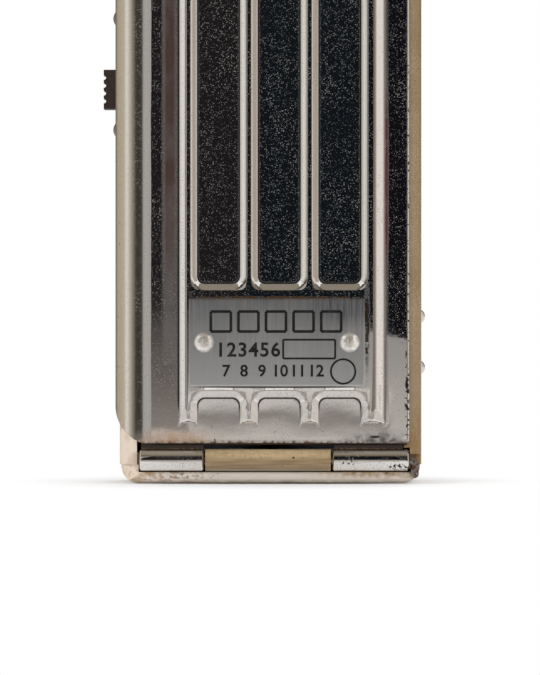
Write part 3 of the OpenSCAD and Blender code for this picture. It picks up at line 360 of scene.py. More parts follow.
def rusty_wire():
    """Spring steel wire, rusted dark brown in pits with bare grey steel between them."""
    material, shader, place = finish("rusted spring steel")
    rust = mottle(place, 0.9, 0.42, 0.56, 4)
    crumbs = mottle(place, 0.3, 0.4, 0.7)
    brown = coated("3A2418", (crumbs, "5E3C22"))
    feed(shader, (rust, 0.015), (crumbs, 0.01), Base_Color=coated("8C8884", (rust, brown)),
         Metallic=(rust, 1, 0), Roughness=(rust, 0.3, 0.85))
    return material


def moulded(name, base, filler, rough, size=2.5):
    """A moulded dull or glossy compound with faint flow marks of its filler and fine handling scratches."""
    material, shader, place = finish(name)
    flow = mottle(place, size, 0.3, 0.75, 5, (1, 1, 0.4))
    fine = mottle(place, 0.4, 0.4, 0.7)
    feed(shader, (flow, 0.02), (fine, 0.01), Base_Color=coated(base, (flow, filler)),
         Roughness=(fine, rough, rough + 0.18))
    return material


def clear(name, colour, rough=0.02, ior=1.5):
    """Glass or clear sheet, tinted through its body, with a slight waviness in its face."""
    material, shader, place = finish(name, Transmission_Weight=1.0, IOR=ior, Base_Color=colour)
    wave = mottle(place, 6, 0.3, 0.7)
    feed(shader, (wave, 0.006), Roughness=(wave, rough, rough + 0.03))
    return material


def printed(name, colour, thin):
    """Printed or filled enamel, slightly broken where it has rubbed thin."""
    material, shader, place = finish(name)
    rub = mottle(place, 1.1, 0.55, 0.75, 4)
    feed(shader, Base_Color=coated(colour, (rub, thin)), Roughness=(rub, 0.45, 0.65))
    return material


plating = pitted_plating("pitted chrome plate")
door_plating = pitted_plating("pitted chrome plate, stained", DOOR_STAINS_AND_PAINTED_LIGHT)
khaki = stove_enamel("khaki stove enamel")
rubbed_khaki = stove_enamel("khaki stove enamel, rubbed along the hinge", (0.06, 1, 1), 0.8)
nickel_silver = brushed_plate("brushed nickel silver, aged", True)
dial_silver = brushed_plate("brushed nickel silver", False)
aluminium = worn_metal("soft aluminium rivet", "FCFAF7", "E8E3DD", 0.19, 1.2, 0.03, 0.85)
steel = worn_metal("plain mild steel", "A4A4A6", "7E7C78", 0.3)
tinplate = worn_metal("dull tinplate", "B9B9B4", "95948E", 0.34)
brass = worn_metal("tarnished brass", "C6A15A", "8A6C34", 0.28)
mirror_silver = worn_metal("silvered reflector", "F0F0EE", "D8D6D2", 0.03, 1.5, 0.002)
wire_steel = rusty_wire()
bakelite = moulded("dark bakelite", "241C19", "3A2A22", 0.22)
rubber = moulded("moulded black rubber", "1E1E1F", "2C2B2A", 0.55)
fibre = moulded("vulcanised fibre", "7A3B2C", "8F5240", 0.55, 1.2)
laminate = moulded("paper laminate", "5E3D24", "6E4A2E", 0.4, 1.0)
jacket = moulded("printed paper jacket", "3F4A58", "4C5866", 0.5, 4)
glass = clear("pressed glass", "F2F8F6")
bulb_glass = clear("blown bulb glass", "FAFCFC", 0.0)
red_sheet = clear("red celluloid", "D8160C", 0.06)
green_sheet = clear("green celluloid", "0E9A52", 0.06)
black_print = printed("black printing enamel", "0D0C0C", "2E2D2C")
cream_print = printed("cream enamel", "EDE6D6", "C9BFA8")
red_print = printed("red enamel", "B01E16", "8A1A14")
green_print = printed("green enamel", "157A45", "125C36")


# Making meshes

# A part is a pair of its points in millimetres and its faces


def piece(name, parts, material, body, slot, *replaced, sharp=35):
    """A dressed object at the origin from parts, with outward faces."""
    points, faces, count = [], [], 0
    for part_points, part_faces in parts:
        points.append(np.asarray(part_points, float))
        faces += [[int(v) + count for v in face] for face in part_faces]
        count += len(part_points)
    mesh = bpy.data.meshes.new(name)
    mesh.from_pydata(np.concatenate(points) * MM, [], faces)
    shape = bmesh.new()
    shape.from_mesh(mesh)
    bmesh.ops.recalc_face_normals(shape, faces=shape.faces)
    shape.to_mesh(mesh)
    shape.free()
    made = placed(name, smoothed(mesh, sharp), material)
    dress(made, body, slot, *replaced)
    return made


def smoothed(mesh, sharp):
    """A mesh shaded smooth, apart from its edges sharper than an angle in degrees."""
    mesh.polygons.foreach_set("use_smooth", [True] * len(mesh.polygons))
    mesh.set_sharp_from_angle(angle=math.radians(sharp))
    return mesh


def placed(name, mesh, material):
    """An object of a mesh that is already in its place."""
    mesh.materials.clear()
    mesh.materials.append(material)
    made = bpy.data.objects.new(name, mesh)
    scene.collection.objects.link(made)
    return made


def dress(made, body, slot, *replaced):
    """Fastens a piece to a body of the lamp and hides the nodes that it stands for; the slot argument is not
    used.
    """
    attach(made, body)
    if replaced:
        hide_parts(*replaced)


def closed_sheet(front, back):
    """A sheet between two grids of points, with its rim closed."""
    rows, cols = front.shape[:2]
    near = np.arange(rows * cols).reshape(rows, cols)
    far = near + rows * cols
    faces = []
    for grid in (near, far):
        corners = [grid[:-1, :-1], grid[:-1, 1:], grid[1:, 1:], grid[1:, :-1]]
        faces.append(np.stack(corners, -1).reshape(-1, 4))
    rim = np.concatenate([near[0], near[1:, -1], near[-1, -2::-1], near[-2:0:-1, 0]])
    after = np.roll(rim, -1)
    faces.append(np.stack([rim, after, after + rows * cols, rim + rows * cols], -1))
    return np.concatenate([front.reshape(-1, 3), back.reshape(-1, 3)]), np.concatenate(faces)


def lofted(rings, closed=False):
    """A skin from each ring of points to the next; a ring of one point is a pole."""
    sides = max(len(ring) for ring in rings)
    starts = np.cumsum([0] + [len(ring) for ring in rings])
    numbers = [np.arange(len(ring)) + start for ring, start in zip(rings, starts)]
    faces = []
    for low, high in list(zip(numbers, numbers[1:])) + ([(numbers[-1], numbers[0])] if closed else []):
        for i in range(sides):
            j = (i + 1) % sides
            face = [low[i % len(low)], low[j % len(low)], high[j % len(high)], high[i % len(high)]]
            faces.append(list(dict.fromkeys(face)))
    return np.concatenate(rings), faces


def turned(profile, closed=False, segments=64):
    """An outline of radius and height turned round Z, closed on itself or at its poles."""
    rings = []
    for radius, height in profile:
        turns = 2 * math.pi * np.arange(segments if radius > 0 else 1) / segments
        rings.append([(radius * math.cos(a), radius * math.sin(a), height) for a in turns])
    return lofted(rings, closed)


def laid(part, way, *place):
    """A part drawn along Z, laid along X or Y from a point."""
    points, faces = part
    return points[:, way] + place, faces


def bar(low, high):
    """A block between two corners."""
    points = [(x, y, z) for x in (low[0], high[0]) for y in (low[1], high[1]) for z in (low[2], high[2])]
    faces = [(0, 1, 3, 2), (4, 6, 7, 5), (0, 4, 5, 1), (2, 3, 7, 6), (0, 2, 6, 4), (1, 5, 7, 3)]
    return np.array(points, float), faces


def swept(path, radius, sides):
    """A round wire along points in a plane of constant Y, with rounded ends."""
    path = np.array(path, float)
    ahead = np.gradient(path, axis=0)
    ahead /= np.linalg.norm(ahead, axis=1)[:, None]
    round_off = [(math.cos(a), math.sin(a)) for a in np.radians([78, 52, 26])]
    rings = [(path[0] - ahead[0] * radius * s, ahead[0], radius * c) for c, s in round_off]
    rings += [(p, t, radius) for p, t in zip(path, ahead)]
    rings += [(path[-1] + ahead[-1] * radius * s, ahead[-1], radius * c) for c, s in reversed(round_off)]
    turns = 2 * math.pi * np.arange(sides) / sides
    loops = []
    for centre, t, r in rings:
        across = np.array([-t[2], 0, t[0]])
        loops.append([centre + r * (math.cos(a) * across + math.sin(a) * np.array([0, 1, 0])) for a in turns])
    points, faces = lofted(loops)
    return points, faces + [list(range(sides)), list(range(len(points) - sides, len(points)))]


def baked(source):
    """The plain mesh that an object makes; the object itself is taken away again."""
    scene.collection.objects.link(source)
    mesh = bpy.data.meshes.new_from_object(source.evaluated_get(bpy.context.evaluated_depsgraph_get()))
    bpy.data.objects.remove(source)
    return mesh


# Geometry Nodes


def new_tree(name, sizes):
    """An empty geometry tree with named sizes, a finish and one geometry output."""
    tree = bpy.data.node_groups.new(name, "GeometryNodeTree")
    for key, kind in sizes.items():
        tree.interface.new_socket(key, in_out="INPUT", socket_type="NodeSocket" + kind)
    tree.interface.new_socket("Finish", in_out="INPUT", socket_type="NodeSocketMaterial")
    tree.interface.new_socket("Geometry", in_out="OUTPUT", socket_type="NodeSocketGeometry")
    return tree, add(tree, "NodeGroupInput")


def end_tree(tree, instances, material):
    """Ends a tree in real geometry with its finish."""
    real = add(tree, "GeometryNodeRealizeInstances", {0: instances})[0]
    done = add(tree, "GeometryNodeSetMaterial", {"Geometry": real, "Material": material})[0]
    add(tree, "NodeGroupOutput", {0: done})
    return tree


def ring_of_beads():
    """Round beads standing in a ring about Z."""
    tree, size = new_tree("ring of beads", {
        "Count": "Int", "Ring radius": "Float", "Bead radius": "Float", "Bead length": "Float"})
    ring = add(tree, "GeometryNodeMeshCircle", {
        "Vertices": size["Count"], "Radius": size["Ring radius"]})[0]
    bead = add(tree, "GeometryNodeMeshCylinder", {
        "Vertices": 8, "Radius": size["Bead radius"], "Depth": size["Bead length"]})[0]
    beads = add(tree, "GeometryNodeInstanceOnPoints", {"Points": ring, "Instance": bead})[0]
    return end_tree(tree, beads, size["Finish"])


def row_of_hoops():
    """Hoops in a row along X."""
    tree, size = new_tree("row of hoops", {
        "Count": "Int", "Pitch": "Vector", "First": "Vector", "Hoop radius": "Float", "Rib radius": "Float"})
    row = add(tree, "GeometryNodeMeshLine", {
        "Count": size["Count"], "Start Location": size["First"], "Offset": size["Pitch"]})[0]
    hoop = add(tree, "GeometryNodeCurvePrimitiveCircle", {
        "Resolution": 40, "Radius": size["Hoop radius"]})[0]
    rib = add(tree, "GeometryNodeCurvePrimitiveCircle", {
        "Resolution": 10, "Radius": size["Rib radius"]})[0]
    ribbed = add(tree, "GeometryNodeCurveToMesh", {"Curve": hoop, "Profile Curve": rib})[0]
    hoops = add(tree, "GeometryNodeInstanceOnPoints", {
        "Points": row, "Instance": ribbed, "Rotation": (0, math.pi / 2, 0)})[0]
    return end_tree(tree, hoops, size["Finish"])


def grown(name, tree, place, material, body, slot, **sizes):
    """A dressed plain mesh piece from a geometry tree, put in its place."""
    sharp = 50
    seed = bpy.data.objects.new(name + " seed", bpy.data.meshes.new(name + " seed"))
    modifier = seed.modifiers.new("tree", "NODES")
    modifier.node_group = tree
    sockets = {s.name: s.identifier for s in tree.interface.items_tree if s.in_out == "INPUT"}
    for key, value in sizes.items():
        modifier[sockets[key.replace("_", " ")]] = value
    modifier[sockets["Finish"]] = material
    mesh = baked(seed)
    mesh.transform(place)
    dress(placed(name, smoothed(mesh, sharp), material), body, slot)


# Door


def spread(*stretches):
    """Places from stretches of start, end and step, in order and none twice."""
    found = [np.linspace(a, b, max(2, round(abs(b - a) / step) + 1)) for a, b, step in stretches]
    return list(np.unique(np.round(np.concatenate(found), 3)))


def flank_places(foot, way):
    """Places across a flank that rises one way, and just beyond it, close together at its two fillets."""
    half = (-0.08, 0, FILLET / 2, FILLET, 0.5)
    return [foot + way * FLANK * t for t in half + tuple(1 - t for t in half)]


def thinned(places, least=0.06):
    """Places in order, without those that crowd the one before."""
    kept = []
    for place in np.unique(np.round(places, 3)):
        if not kept or place - kept[-1] >= least:
            kept.append(place)
    return np.array(kept)


def rib_columns():
    """Places across the ribbed panel: each flank, and the round corners of each window."""
    fine, coarse, beside = 0.3, 1.7, 0.5
    found = flank_places(PANEL_LEFT, 1)
    found += spread((PANEL_RIGHT - END_FLANK, PANEL_RIGHT, 0.2))
    for x0 in WINDOW_LEFTS:
        x1 = x0 + WINDOW
        found += flank_places(x0, -1) + flank_places(x1, 1)
        found += spread((x0, x0 + WINDOW_CORNER, fine), (x0 + WINDOW_CORNER, x1 - WINDOW_CORNER, coarse),
                        (x1 - WINDOW_CORNER, x1, fine))
        found += [x0 - FLANK - beside, x1 + FLANK + beside]
    return thinned(found)


def door_rows():
    """Places up the door: its foot, the rib tips, the flanks of the two bands and the windows' corners."""
    edge, edge_step, corner_step = 0.6, 0.15, 0.3
    window_top = PANEL_TOP - HEAD_BAND
    low_corner, high_corner = BAND_LOW - WINDOW_CORNER, BAND_HIGH + WINDOW_CORNER
    stretches = (
        (DOOR_FOOT, DOOR_FOOT + edge, edge_step), (DOOR_FOOT + edge, TIP_FOOT, 1), (TIP_FOOT, TIP_TOP, 0.1),
        (TIP_TOP, low_corner, 0.6), (low_corner, BAND_LOW, corner_step),
        (BAND_LOW + FLANK, BAND_HIGH - FLANK, 3), (BAND_HIGH, high_corner, corner_step),
        (high_corner, window_top - WINDOW_CORNER, 5), (window_top - WINDOW_CORNER, window_top, corner_step),
        (PANEL_TOP, DOOR_TOP - edge, 1), (DOOR_TOP - edge, DOOR_TOP, edge_step))
    found = spread(*stretches)
    for foot, way in ((BAND_LOW, 1), (BAND_HIGH, -1), (window_top, 1), (PANEL_TOP, -1)):
        found += flank_places(foot, way)
    return thinned(found)


def outside_window(x, z, x0, z0, z1):
    """Distance of places from the edge of a round-cornered window, negative inside it."""
    qx = np.abs(x - x0 - WINDOW / 2) - (WINDOW / 2 - WINDOW_CORNER)
    qz = np.abs(z - (z0 + z1) / 2) - ((z1 - z0) / 2 - WINDOW_CORNER)
    reach = np.hypot(np.maximum(qx, 0), np.maximum(qz, 0))
    return reach + np.minimum(np.maximum(qx, qz), 0) - WINDOW_CORNER


def flank_height(t):
    """Height of a pressed flank from 0 at its foot to 1 at its top, straight between two fillets."""
    slope = 1 / (1 - FILLET)
    low = slope * t ** 2 / (2 * FILLET)
    high = 1 - slope * (1 - t) ** 2 / (2 * FILLET)
    return np.where(t < FILLET, low, np.where(t > 1 - FILLET, high, slope * (t - FILLET / 2)))


def inside_ribs(x, z):
    """How far places lie inside the raised pattern of ribs and bands, negative outside it."""
    inside = np.minimum(np.minimum(x - PANEL_LEFT, (PANEL_RIGHT - x) * FLANK / END_FLANK), PANEL_TOP - z)
    for x0 in WINDOW_LEFTS:
        inside = np.minimum(inside, outside_window(x, z, x0, BAND_HIGH, PANEL_TOP - HEAD_BAND))
        inside = np.minimum(inside, outside_window(x, z, x0, BAND_LOW - BAND_HIGH, BAND_LOW))
    return inside


def tipped(inside, z):
    """Distances inside the pattern, rounded off towards the lower tips of the ribs."""
    inside = np.maximum(inside, 0)
    tip = np.maximum(z - TIP_FOOT, 0) * TIP_STEEPNESS
    return inside + tip - np.hypot(inside, tip)


def rib_height(x, z):
    """How far the pressed ribs and bands stand out from the door."""
    share = np.clip(tipped(inside_ribs(x, z), z) / FLANK, 0, 1)
    rounded = share ** 2 * (3 - 2 * share)
    return RISE * np.where(x > PANEL_RIGHT - END_FLANK, rounded, flank_height(share))


def door_edge(x):
    """How far the door's rounded corners draw its lower and upper edge in."""
    left = np.clip(DOOR_LEFT + DOOR_CORNER - x, 0, DOOR_CORNER)
    right = np.clip(x - DOOR_RIGHT + DOOR_RIGHT_CORNER, 0, DOOR_RIGHT_CORNER)
    return (DOOR_CORNER - np.sqrt(DOOR_CORNER ** 2 - left ** 2)
            + DOOR_RIGHT_CORNER - np.sqrt(DOOR_RIGHT_CORNER ** 2 - right ** 2))


def door_skin(depth):
    """A grid of points on the door, a depth behind its outer face: flange, bend and ribbed flat."""
    margin_step, edge, edge_step, corner_blend = 0.8, 1.2, 0.12, 2
    bend = np.radians(np.linspace(90, 0, 25))
    flange_y = np.linspace(FLANGE_END, BEND_Y, 5)[:-1]
    r = BEND_R - depth
    left_margin = spread((BEND_X, PANEL_LEFT, margin_step))[1:-1]
    right_margin = spread((PANEL_RIGHT, DOOR_RIGHT - edge, margin_step),
                          (DOOR_RIGHT - edge, DOOR_RIGHT, edge_step))[1:]
    flat_x = np.concatenate([left_margin, rib_columns(), right_margin])
    x = np.concatenate([np.full_like(flange_y, BEND_X - r), BEND_X - r * np.sin(bend), flat_x])
    y = np.concatenate([flange_y, BEND_Y - r * np.cos(bend), np.full_like(flat_x, DOOR_FACE + depth)])
    outline_x = np.concatenate([np.full_like(flange_y, DOOR_LEFT), BEND_X - BEND_R * np.sin(bend), flat_x])
    z = door_rows()
    drawn = door_edge(outline_x)
    reach = DOOR_CORNER + corner_blend
    low = 1 - np.clip((z - DOOR_FOOT) / reach, 0, 1)
    high = 1 - np.clip((DOOR_TOP - z) / reach, 0, 1)
    zz = z[:, None] + drawn[None, :] * (low - high)[:, None]
    xx = np.broadcast_to(x, zz.shape)
    yy = np.broadcast_to(y, zz.shape) - rib_height(xx, zz) * (xx > BEND_X)
    if depth == 0:
        rim = np.minimum(np.minimum(z - DOOR_FOOT, DOOR_TOP - z)[:, None], (DOOR_RIGHT - x)[None, :])
        yy = yy + RIM_DROP * np.clip(1 - rim / RIM_WIDTH, 0, 1) ** 2 * (xx > BEND_X)
    return np.stack([xx, yy, zz], -1)


def knuckle(x0, x1):
    """A rolled knuckle of the hinge with eased ends, and the neck behind the sheet that joins the two."""
    ease, bore = 0.3, WIRE + WIRE_ROOM
    length = x1 - x0
    tube = turned([(bore, 0), (KNUCKLE - ease, 0), (KNUCKLE, ease), (KNUCKLE, length - ease),
                   (KNUCKLE - ease, length), (bore, length)], closed=True, segments=40)
    neck = bar((x0 + ease, NECK_FRONT, HINGE_Z + NECK_RISE),
               (min(x1, NECK_RIGHT), NECK_BACK, DOOR_FOOT + NECK_LAP))
    return [laid(tube, ALONG_X, x0, HINGE_Y, HINGE_Z), neck]


def mark_creases(mesh):
    """Stores where grime and painted shade lie, along the foot of each pressed flank."""
    beside, behind = 1, 0.3
    points = np.empty(len(mesh.vertices) * 3, np.float32)
    mesh.vertices.foreach_get("co", points)
    x, y, z = points.reshape(-1, 3).T / MM
    near = np.exp(-(np.minimum(inside_ribs(x, z), CREASE_REACH) / CREASE_WIDTH) ** 2)
    near *= np.clip((z - TIP_TOP) / CREASE_GROWTH, CREASE_LEAST, 1)
    near *= np.where(x > PANEL_RIGHT - END_FLANK / 2, CREASE_END_SHARE, 1)
    shown = (x > PANEL_LEFT - beside) & (y < DOOR_FACE + behind) & (z > TIP_FOOT)
    crease_grime_and_shade = mesh.attributes.new("crease_grime_and_shade", "FLOAT", "POINT")
    crease_grime_and_shade.data.foreach_set("value", np.where(shown, CREASE_COVER * near, 0).astype(np.float32))


def battery_door():
    """The pressed door: one ribbed sheet with its side flange, and two knuckles along its foot."""
    parts = [closed_sheet(door_skin(0), door_skin(SHEET)), *knuckle(*LEFT_KNUCKLE), *knuckle(*RIGHT_KNUCKLE)]
    made = piece("door_sheet", parts, door_plating, "battery_door", "plated_steel", "door_panel")
    mark_creases(made.data)


# Name plate


def plate_places(half):
    """Places across the plate, half its size each way, close together at its edges."""
    edge, edge_step, step = 0.6, 0.15, 0.9
    inner = half - edge
    return spread((-half, -inner, edge_step), (-inner, inner, step), (inner, half, edge_step))


def name_plate():
    """A blank form plate with eased edges, drawn down a little round its rivets."""
    reach = 14
    xx, zz = np.meshgrid(plate_places(PLATE_W / 2), plate_places(PLATE_H / 2))
    rim = np.minimum(PLATE_W / 2 - np.abs(xx), PLATE_H / 2 - np.abs(zz))
    ease = PLATE_EASE * np.clip(1 - rim / PLATE_EASE_WIDTH, 0, 1) ** 2
    pull = sum(RIVET_PULL * np.exp(-((xx - s * PLATE_RIVET) ** 2 + zz ** 2) / reach) for s in (-1, 1))
    front = np.stack([xx + PLATE_X, PLATE_FACE + ease + pull, zz + PLATE_Z], -1)
    back = np.stack([xx + PLATE_X, np.full_like(xx, PLATE_FACE + PLATE_T), zz + PLATE_Z], -1)
    parts = [closed_sheet(front, back)]
    piece("form_plate", parts, nickel_silver, "battery_door", "brushed_plate", "name_plate")


def frame_mark(x, z, w, h, line):
    """An empty printed box about a point."""
    front, back = PRINT_Y, PRINT_Y + PRINT_T
    parts = []
    for side in (-1, 1):
        edge_x, edge_z = x + side * w / 2, z + side * h / 2
        parts.append(bar((x - w / 2, front, edge_z - line / 2), (x + w / 2, back, edge_z + line / 2)))
        parts.append(bar((edge_x - line / 2, front, z - h / 2), (edge_x + line / 2, back, z + h / 2)))
    return parts


def ring_mark(inner, outer, segments=64):
    """A flat printed ring about Z."""
    return turned([(inner, 0), (outer, 0), (outer, PRINT_T), (inner, PRINT_T)], True, segments)


def numeral(text, x, z, size, bold):
    """A plain number printed on the plate, centred over a point."""
    curve = bpy.data.curves.new("number", "FONT")
    curve.body = text
    curve.align_x = "CENTER"
    curve.size = size
    curve.offset = bold
    curve.extrude = PRINT_T / 2
    curve.resolution_u = 3
    mesh = baked(bpy.data.objects.new("number", curve))
    points = np.array([v.co for v in mesh.vertices])
    faces = [list(p.vertices) for p in mesh.polygons]
    return np.stack([points[:, 0] + x, PRINT_Y + PRINT_T / 2 - points[:, 2], points[:, 1] + z], -1), faces


def plate_print():
    """Blank boxes for an owner's number, the months as numbers, an empty box and an empty ring for stamps."""
    boxes, first_box, box_pitch, box_z, box_side, box_line = 5, -12.4, 6.9, 40.6, 5.0, 0.7
    stamp_x, stamp_z, stamp_w, stamp_h, stamp_line = 9.7, 33.7, 13.0, 4.7, 0.5
    ring_x, ring_z, ring_in, ring_out = 18.2, 28.1, 2.8, 3.3
    # Rows of months: the first month, its place, the pitch, the foot of the row, its size and its boldness
    months = ((1, -12.45, 2.75, 31.9, 4.9, 0.11), (7, -11.1, 4.5, 26.9, 4.1, 0.09))
    parts = []
    for i in range(boxes):
        parts += frame_mark(first_box + i * box_pitch, box_z, box_side, box_side, box_line)
    for first, x, pitch, foot, size, bold in months:
        parts += [numeral(str(first + i), x + i * pitch, foot, size, bold) for i in range(6)]
    parts += frame_mark(stamp_x, stamp_z, stamp_w, stamp_h, stamp_line)
    parts.append(laid(ring_mark(ring_in, ring_out), ALONG_Y, ring_x, PRINT_Y, ring_z))
    piece("plate_print", parts, black_print, "battery_door", "brushed_plate")


def hinge_wire():
    """The hinge wire, driven through the knuckles and bent down at its right end."""
    bend, sides = 1.7, 20
    turn = np.radians(np.linspace(90, 0, 13))
    start = LEFT_KNUCKLE[0] + WIRE
    path = [(x, HINGE_Y, HINGE_Z) for x in np.linspace(start, WIRE_LEG - bend, 12)[:-1]]
    path += [(WIRE_LEG + bend * (math.cos(a) - 1), HINGE_Y, HINGE_Z + bend * (math.sin(a) - 1)) for a in turn]
    path += [(WIRE_LEG, HINGE_Y, z) for z in np.linspace(HINGE_Z - bend, WIRE_TIP + WIRE, 4)[1:]]
    piece("hinge_wire", [swept(path, WIRE, sides)], wire_steel, "lamp_case", "bright_steel", "hinge_pin")


# Lens


def bulls_eye():
    """Pressed glass bull's eye: a smooth dome in front and stepped rings moulded into its back."""
    dome_r, rise, rings, step, riser, middle, ease = 24.5, 8.0, 6, 0.7, 0.3, 0.4, 0.4
    ball = (dome_r ** 2 + rise ** 2) / (2 * rise)
    profile = [(0, middle)]
    for i in range(rings):
        inner, outer = dome_r * i / rings, dome_r * (i + 1) / rings
        profile += [(inner + riser, middle if i == 0 else step), (outer, 0.0)]
    profile += [(LENS_R - ease, 0), (LENS_R, ease), (LENS_R, LENS_RIM - ease), (LENS_R - ease, LENS_RIM),
                (dome_r, LENS_RIM)]
    for t in np.linspace(0.06, 1, 22):
        radius = dome_r * (1 - t)
        profile.append((radius, LENS_RIM + rise - ball + math.sqrt(ball ** 2 - radius ** 2)))
    dome = laid(turned(profile, segments=96), ALONG_Y, 0, LENS_BACK, LENS_Z)
    piece("lens_glass", [dome], glass, "lamp_case", "clear_glass", "lens", sharp=25)


def bezel():
    """The screwed ring that holds the lens, with a coined front lip and a knurled rim."""
    out, inner, lip, foot, top, lip_t, ease = 29.95, 28.65, 24.9, 22.4, 28.1, 1.5, 0.3
    beads, bead_ring, bead_r, bead_l, bead_y = 150, 29.9, 0.34, 3.2, 25.1
    profile = [
        (inner, foot), (out - ease, foot), (out, foot + ease), (out, top - 1.1), (out - 0.35, top - 0.45),
        (out - 1.1, top), (lip + 1.4, top), (lip + 0.5, top - 0.35), (lip, top - 0.9), (lip, top - lip_t),
        (inner, top - lip_t)]
    ring = turned([(r, y - foot) for r, y in profile], closed=True, segments=128)
    ring = laid(ring, ALONG_Y, 0, foot, LENS_Z)
    piece("bezel_ring", [ring], plating, "lamp_case", "plated_steel", "lens_bezel")
    place = Matrix.Translation((0, bead_y * MM, LENS_Z * MM)) @ Matrix.Rotation(-math.pi / 2, 4, "X")
    grown("bezel_knurl", ring_of_beads(), place, plating, "lamp_case", "plated_steel", Count=beads,
          Ring_radius=bead_ring * MM, Bead_radius=bead_r * MM, Bead_length=bead_l * MM)


# Selector and switch


def dial_marks():
    """Enamel spots on the dial for the clear, red and green positions, and the line on the knob's pointer."""
    spots = (("clear", cream_print, 90), ("red", red_print, 330), ("green", green_print, 210))
    spot, spot_ring = [(0, 0), (1.35, 0), (1.3, 0.12), (0.8, 0.22), (0, 0.26)], 13
    half_line, line_start, line_end = 0.5, 1.5, 9.1
    for name, material, degrees in spots:
        points, faces = turned(spot, segments=32)
        x, y = spot_ring * math.cos(math.radians(degrees)), spot_ring * math.sin(math.radians(degrees))
        parts = [(points + [x, y + DRUM_Y, DIAL_TOP], faces)]
        piece(f"dial_spot_{name}", parts, material, "lamp_case", "brushed_plate")
    line = bar((-half_line, DRUM_Y + line_start, KNOB_TOP - PRINT_T / 2),
               (half_line, DRUM_Y + line_end, KNOB_TOP + PRINT_T / 2))
    piece("pointer_line", [line], cream_print, "colour_selector", "bakelite")


def switch_marks():
    """An empty ring and a bar beside the slide switch, for off and on."""
    ring_in, ring_out, ring_drop, mark_y = 1.0, 1.4, 8, SWITCH_Y - 3.9
    half_bar, bar_low, bar_high = 0.25, 6.6, 9.4
    x0 = CASE_LEFT - SWITCH_PLATE - PRINT_T / 2
    ring = laid(ring_mark(ring_in, ring_out, 40), ALONG_X, x0, mark_y, SWITCH_Z - ring_drop)
    upright = bar((x0, mark_y - half_bar, SWITCH_Z + bar_low),
                  (x0 + PRINT_T, mark_y + half_bar, SWITCH_Z + bar_high))
    piece("switch_marks", [ring, upright], black_print, "lamp_case", "plated_steel")


# Handle


def grip():
    """A rubber sleeve on the handle's strip, with rounded ends and raised hoops for the fingers."""
    half, top, core, round_off, shoulder = 25.0, 191.0, 7.0, 1.6, 0.5
    hoop_count, hoop_pitch, first_hoop, hoop_r, rib_r = 15, 3, -21, 6.9, 0.59
    length = 2 * half
    profile = [(0, 0), (core - round_off, 0), (core - shoulder, shoulder), (core, round_off),
               (core, length - round_off), (core - shoulder, length - shoulder), (core - round_off, length),
               (0, length)]
    sleeve = laid(turned(profile, segments=48), ALONG_X, -half, 0, top)
    piece("grip_sleeve", [sleeve], rubber, "carrying_handle", "black_rubber", "handle_grip")
    place = Matrix.Translation((0, 0, top * MM))
    grown("grip_hoops", row_of_hoops(), place, rubber, "carrying_handle", "black_rubber", Count=hoop_count,
          First=(first_hoop * MM, 0, 0), Pitch=(hoop_pitch * MM, 0, 0), Hoop_radius=hoop_r * MM,
          Rib_radius=rib_r * MM)


# Cells


def cells():
    """Two cells in plain paper jackets with crimped tinplate ends and caps; the right one is upside down."""
    crimp, crimp_h, inner, cap_r, cap_h = 16.1, 1.3, 15.7, 4.75, 1.5
    jacket_in, jacket_end, jacket_lap = 15.6, 1.4, 1.2
    h = CELL_H
    body = turned([(jacket_in, jacket_lap), (CELL_R, jacket_end), (CELL_R, h - jacket_end),
                   (jacket_in, h - jacket_lap)], closed=True)
    foot = turned([(0, 0.3), (11, 0.3), (12, 0), (15.4, 0), (crimp, 0.4), (crimp, crimp_h), (inner, crimp_h)])
    head = turned([(inner, h - crimp_h), (crimp, h - crimp_h), (crimp, h - 0.4), (15.4, h), (14.6, h),
                   (14.2, h - 0.5), (cap_r + 1.2, h - 0.5), (cap_r, h), (cap_r, h + cap_h - 0.4),
                   (cap_r - 0.5, h + cap_h), (0, h + cap_h)])
    for name, x, up, z in (("cell_left", -CELL_X, 1, CELL_FOOT), ("cell_right", CELL_X, -1, CELL_FOOT + h)):
        stood = [(points * [1, up, up] + [x, CELL_Y, z], faces) for points, faces in (body, foot, head)]
        piece(name + "_jacket", stood[:1], jacket, "lamp_case", "cell_jacket", name)
        piece(name + "_ends", stood[1:], tinplate, "lamp_case", "cell_jacket")


# Carried nodes

CARRIED = {
    khaki: ["case_body", "bottom_pan", "top_cap", "lens_collar"],
    rubbed_khaki: ["hinge_leaf"],
    plating: ["switch_plate", "handle_bail"],
    aluminium: ["name_plate_rivets", "cell_spring_rivets"],
    dial_silver: ["colour_dial"],
    steel: ["door_catch", "door_tongue", "cell_spring", "board_shelf", "board_screws", "bulb_filament",
            "selector_shaft", "knob_screw", "detent_spring", "switch_screws", "handle_spacers",
            "handle_pivots"],
    tinplate: ["drum_frame"],
    brass: ["bridge_contact", "positive_contact", "negative_contact", "centre_contact", "earth_strip",
            "bulb_socket", "bulb_base", "shaft_bush", "bush_nut", "switch_contact"],
    bakelite: ["bulb_pillar", "selector_knob", "switch_thumb", "switch_block"],
    fibre: ["fibre_pad", "battery_liner"],
    laminate: ["contact_board"],
    bulb_glass: ["bulb_glass"],
    red_sheet: ["red_pane"],
    green_sheet: ["green_pane"],
    mirror_silver: ["bulb_mirror"],
    rubber: ["lens_seal"],
}


def dress_carried():
    """Gives every node that stays its finish."""
    for material, names in CARRIED.items():
        for name in names:
            nodes[name].data.materials.clear()
            nodes[name].data.materials.append(material)


battery_door()
name_plate()
plate_print()
hinge_wire()
bulls_eye()
bezel()
dial_marks()
switch_marks()
grip()
cells()
dress_carried()


# Studio, with its sizes in metres

# The mirrored room: its radius, the height of the table's far edge, the upper wall's foot and the ceiling
ROOM_R, HORIZON, WALL_FOOT, CEILING = 1.75, 0.0385, 1.5, 3.2
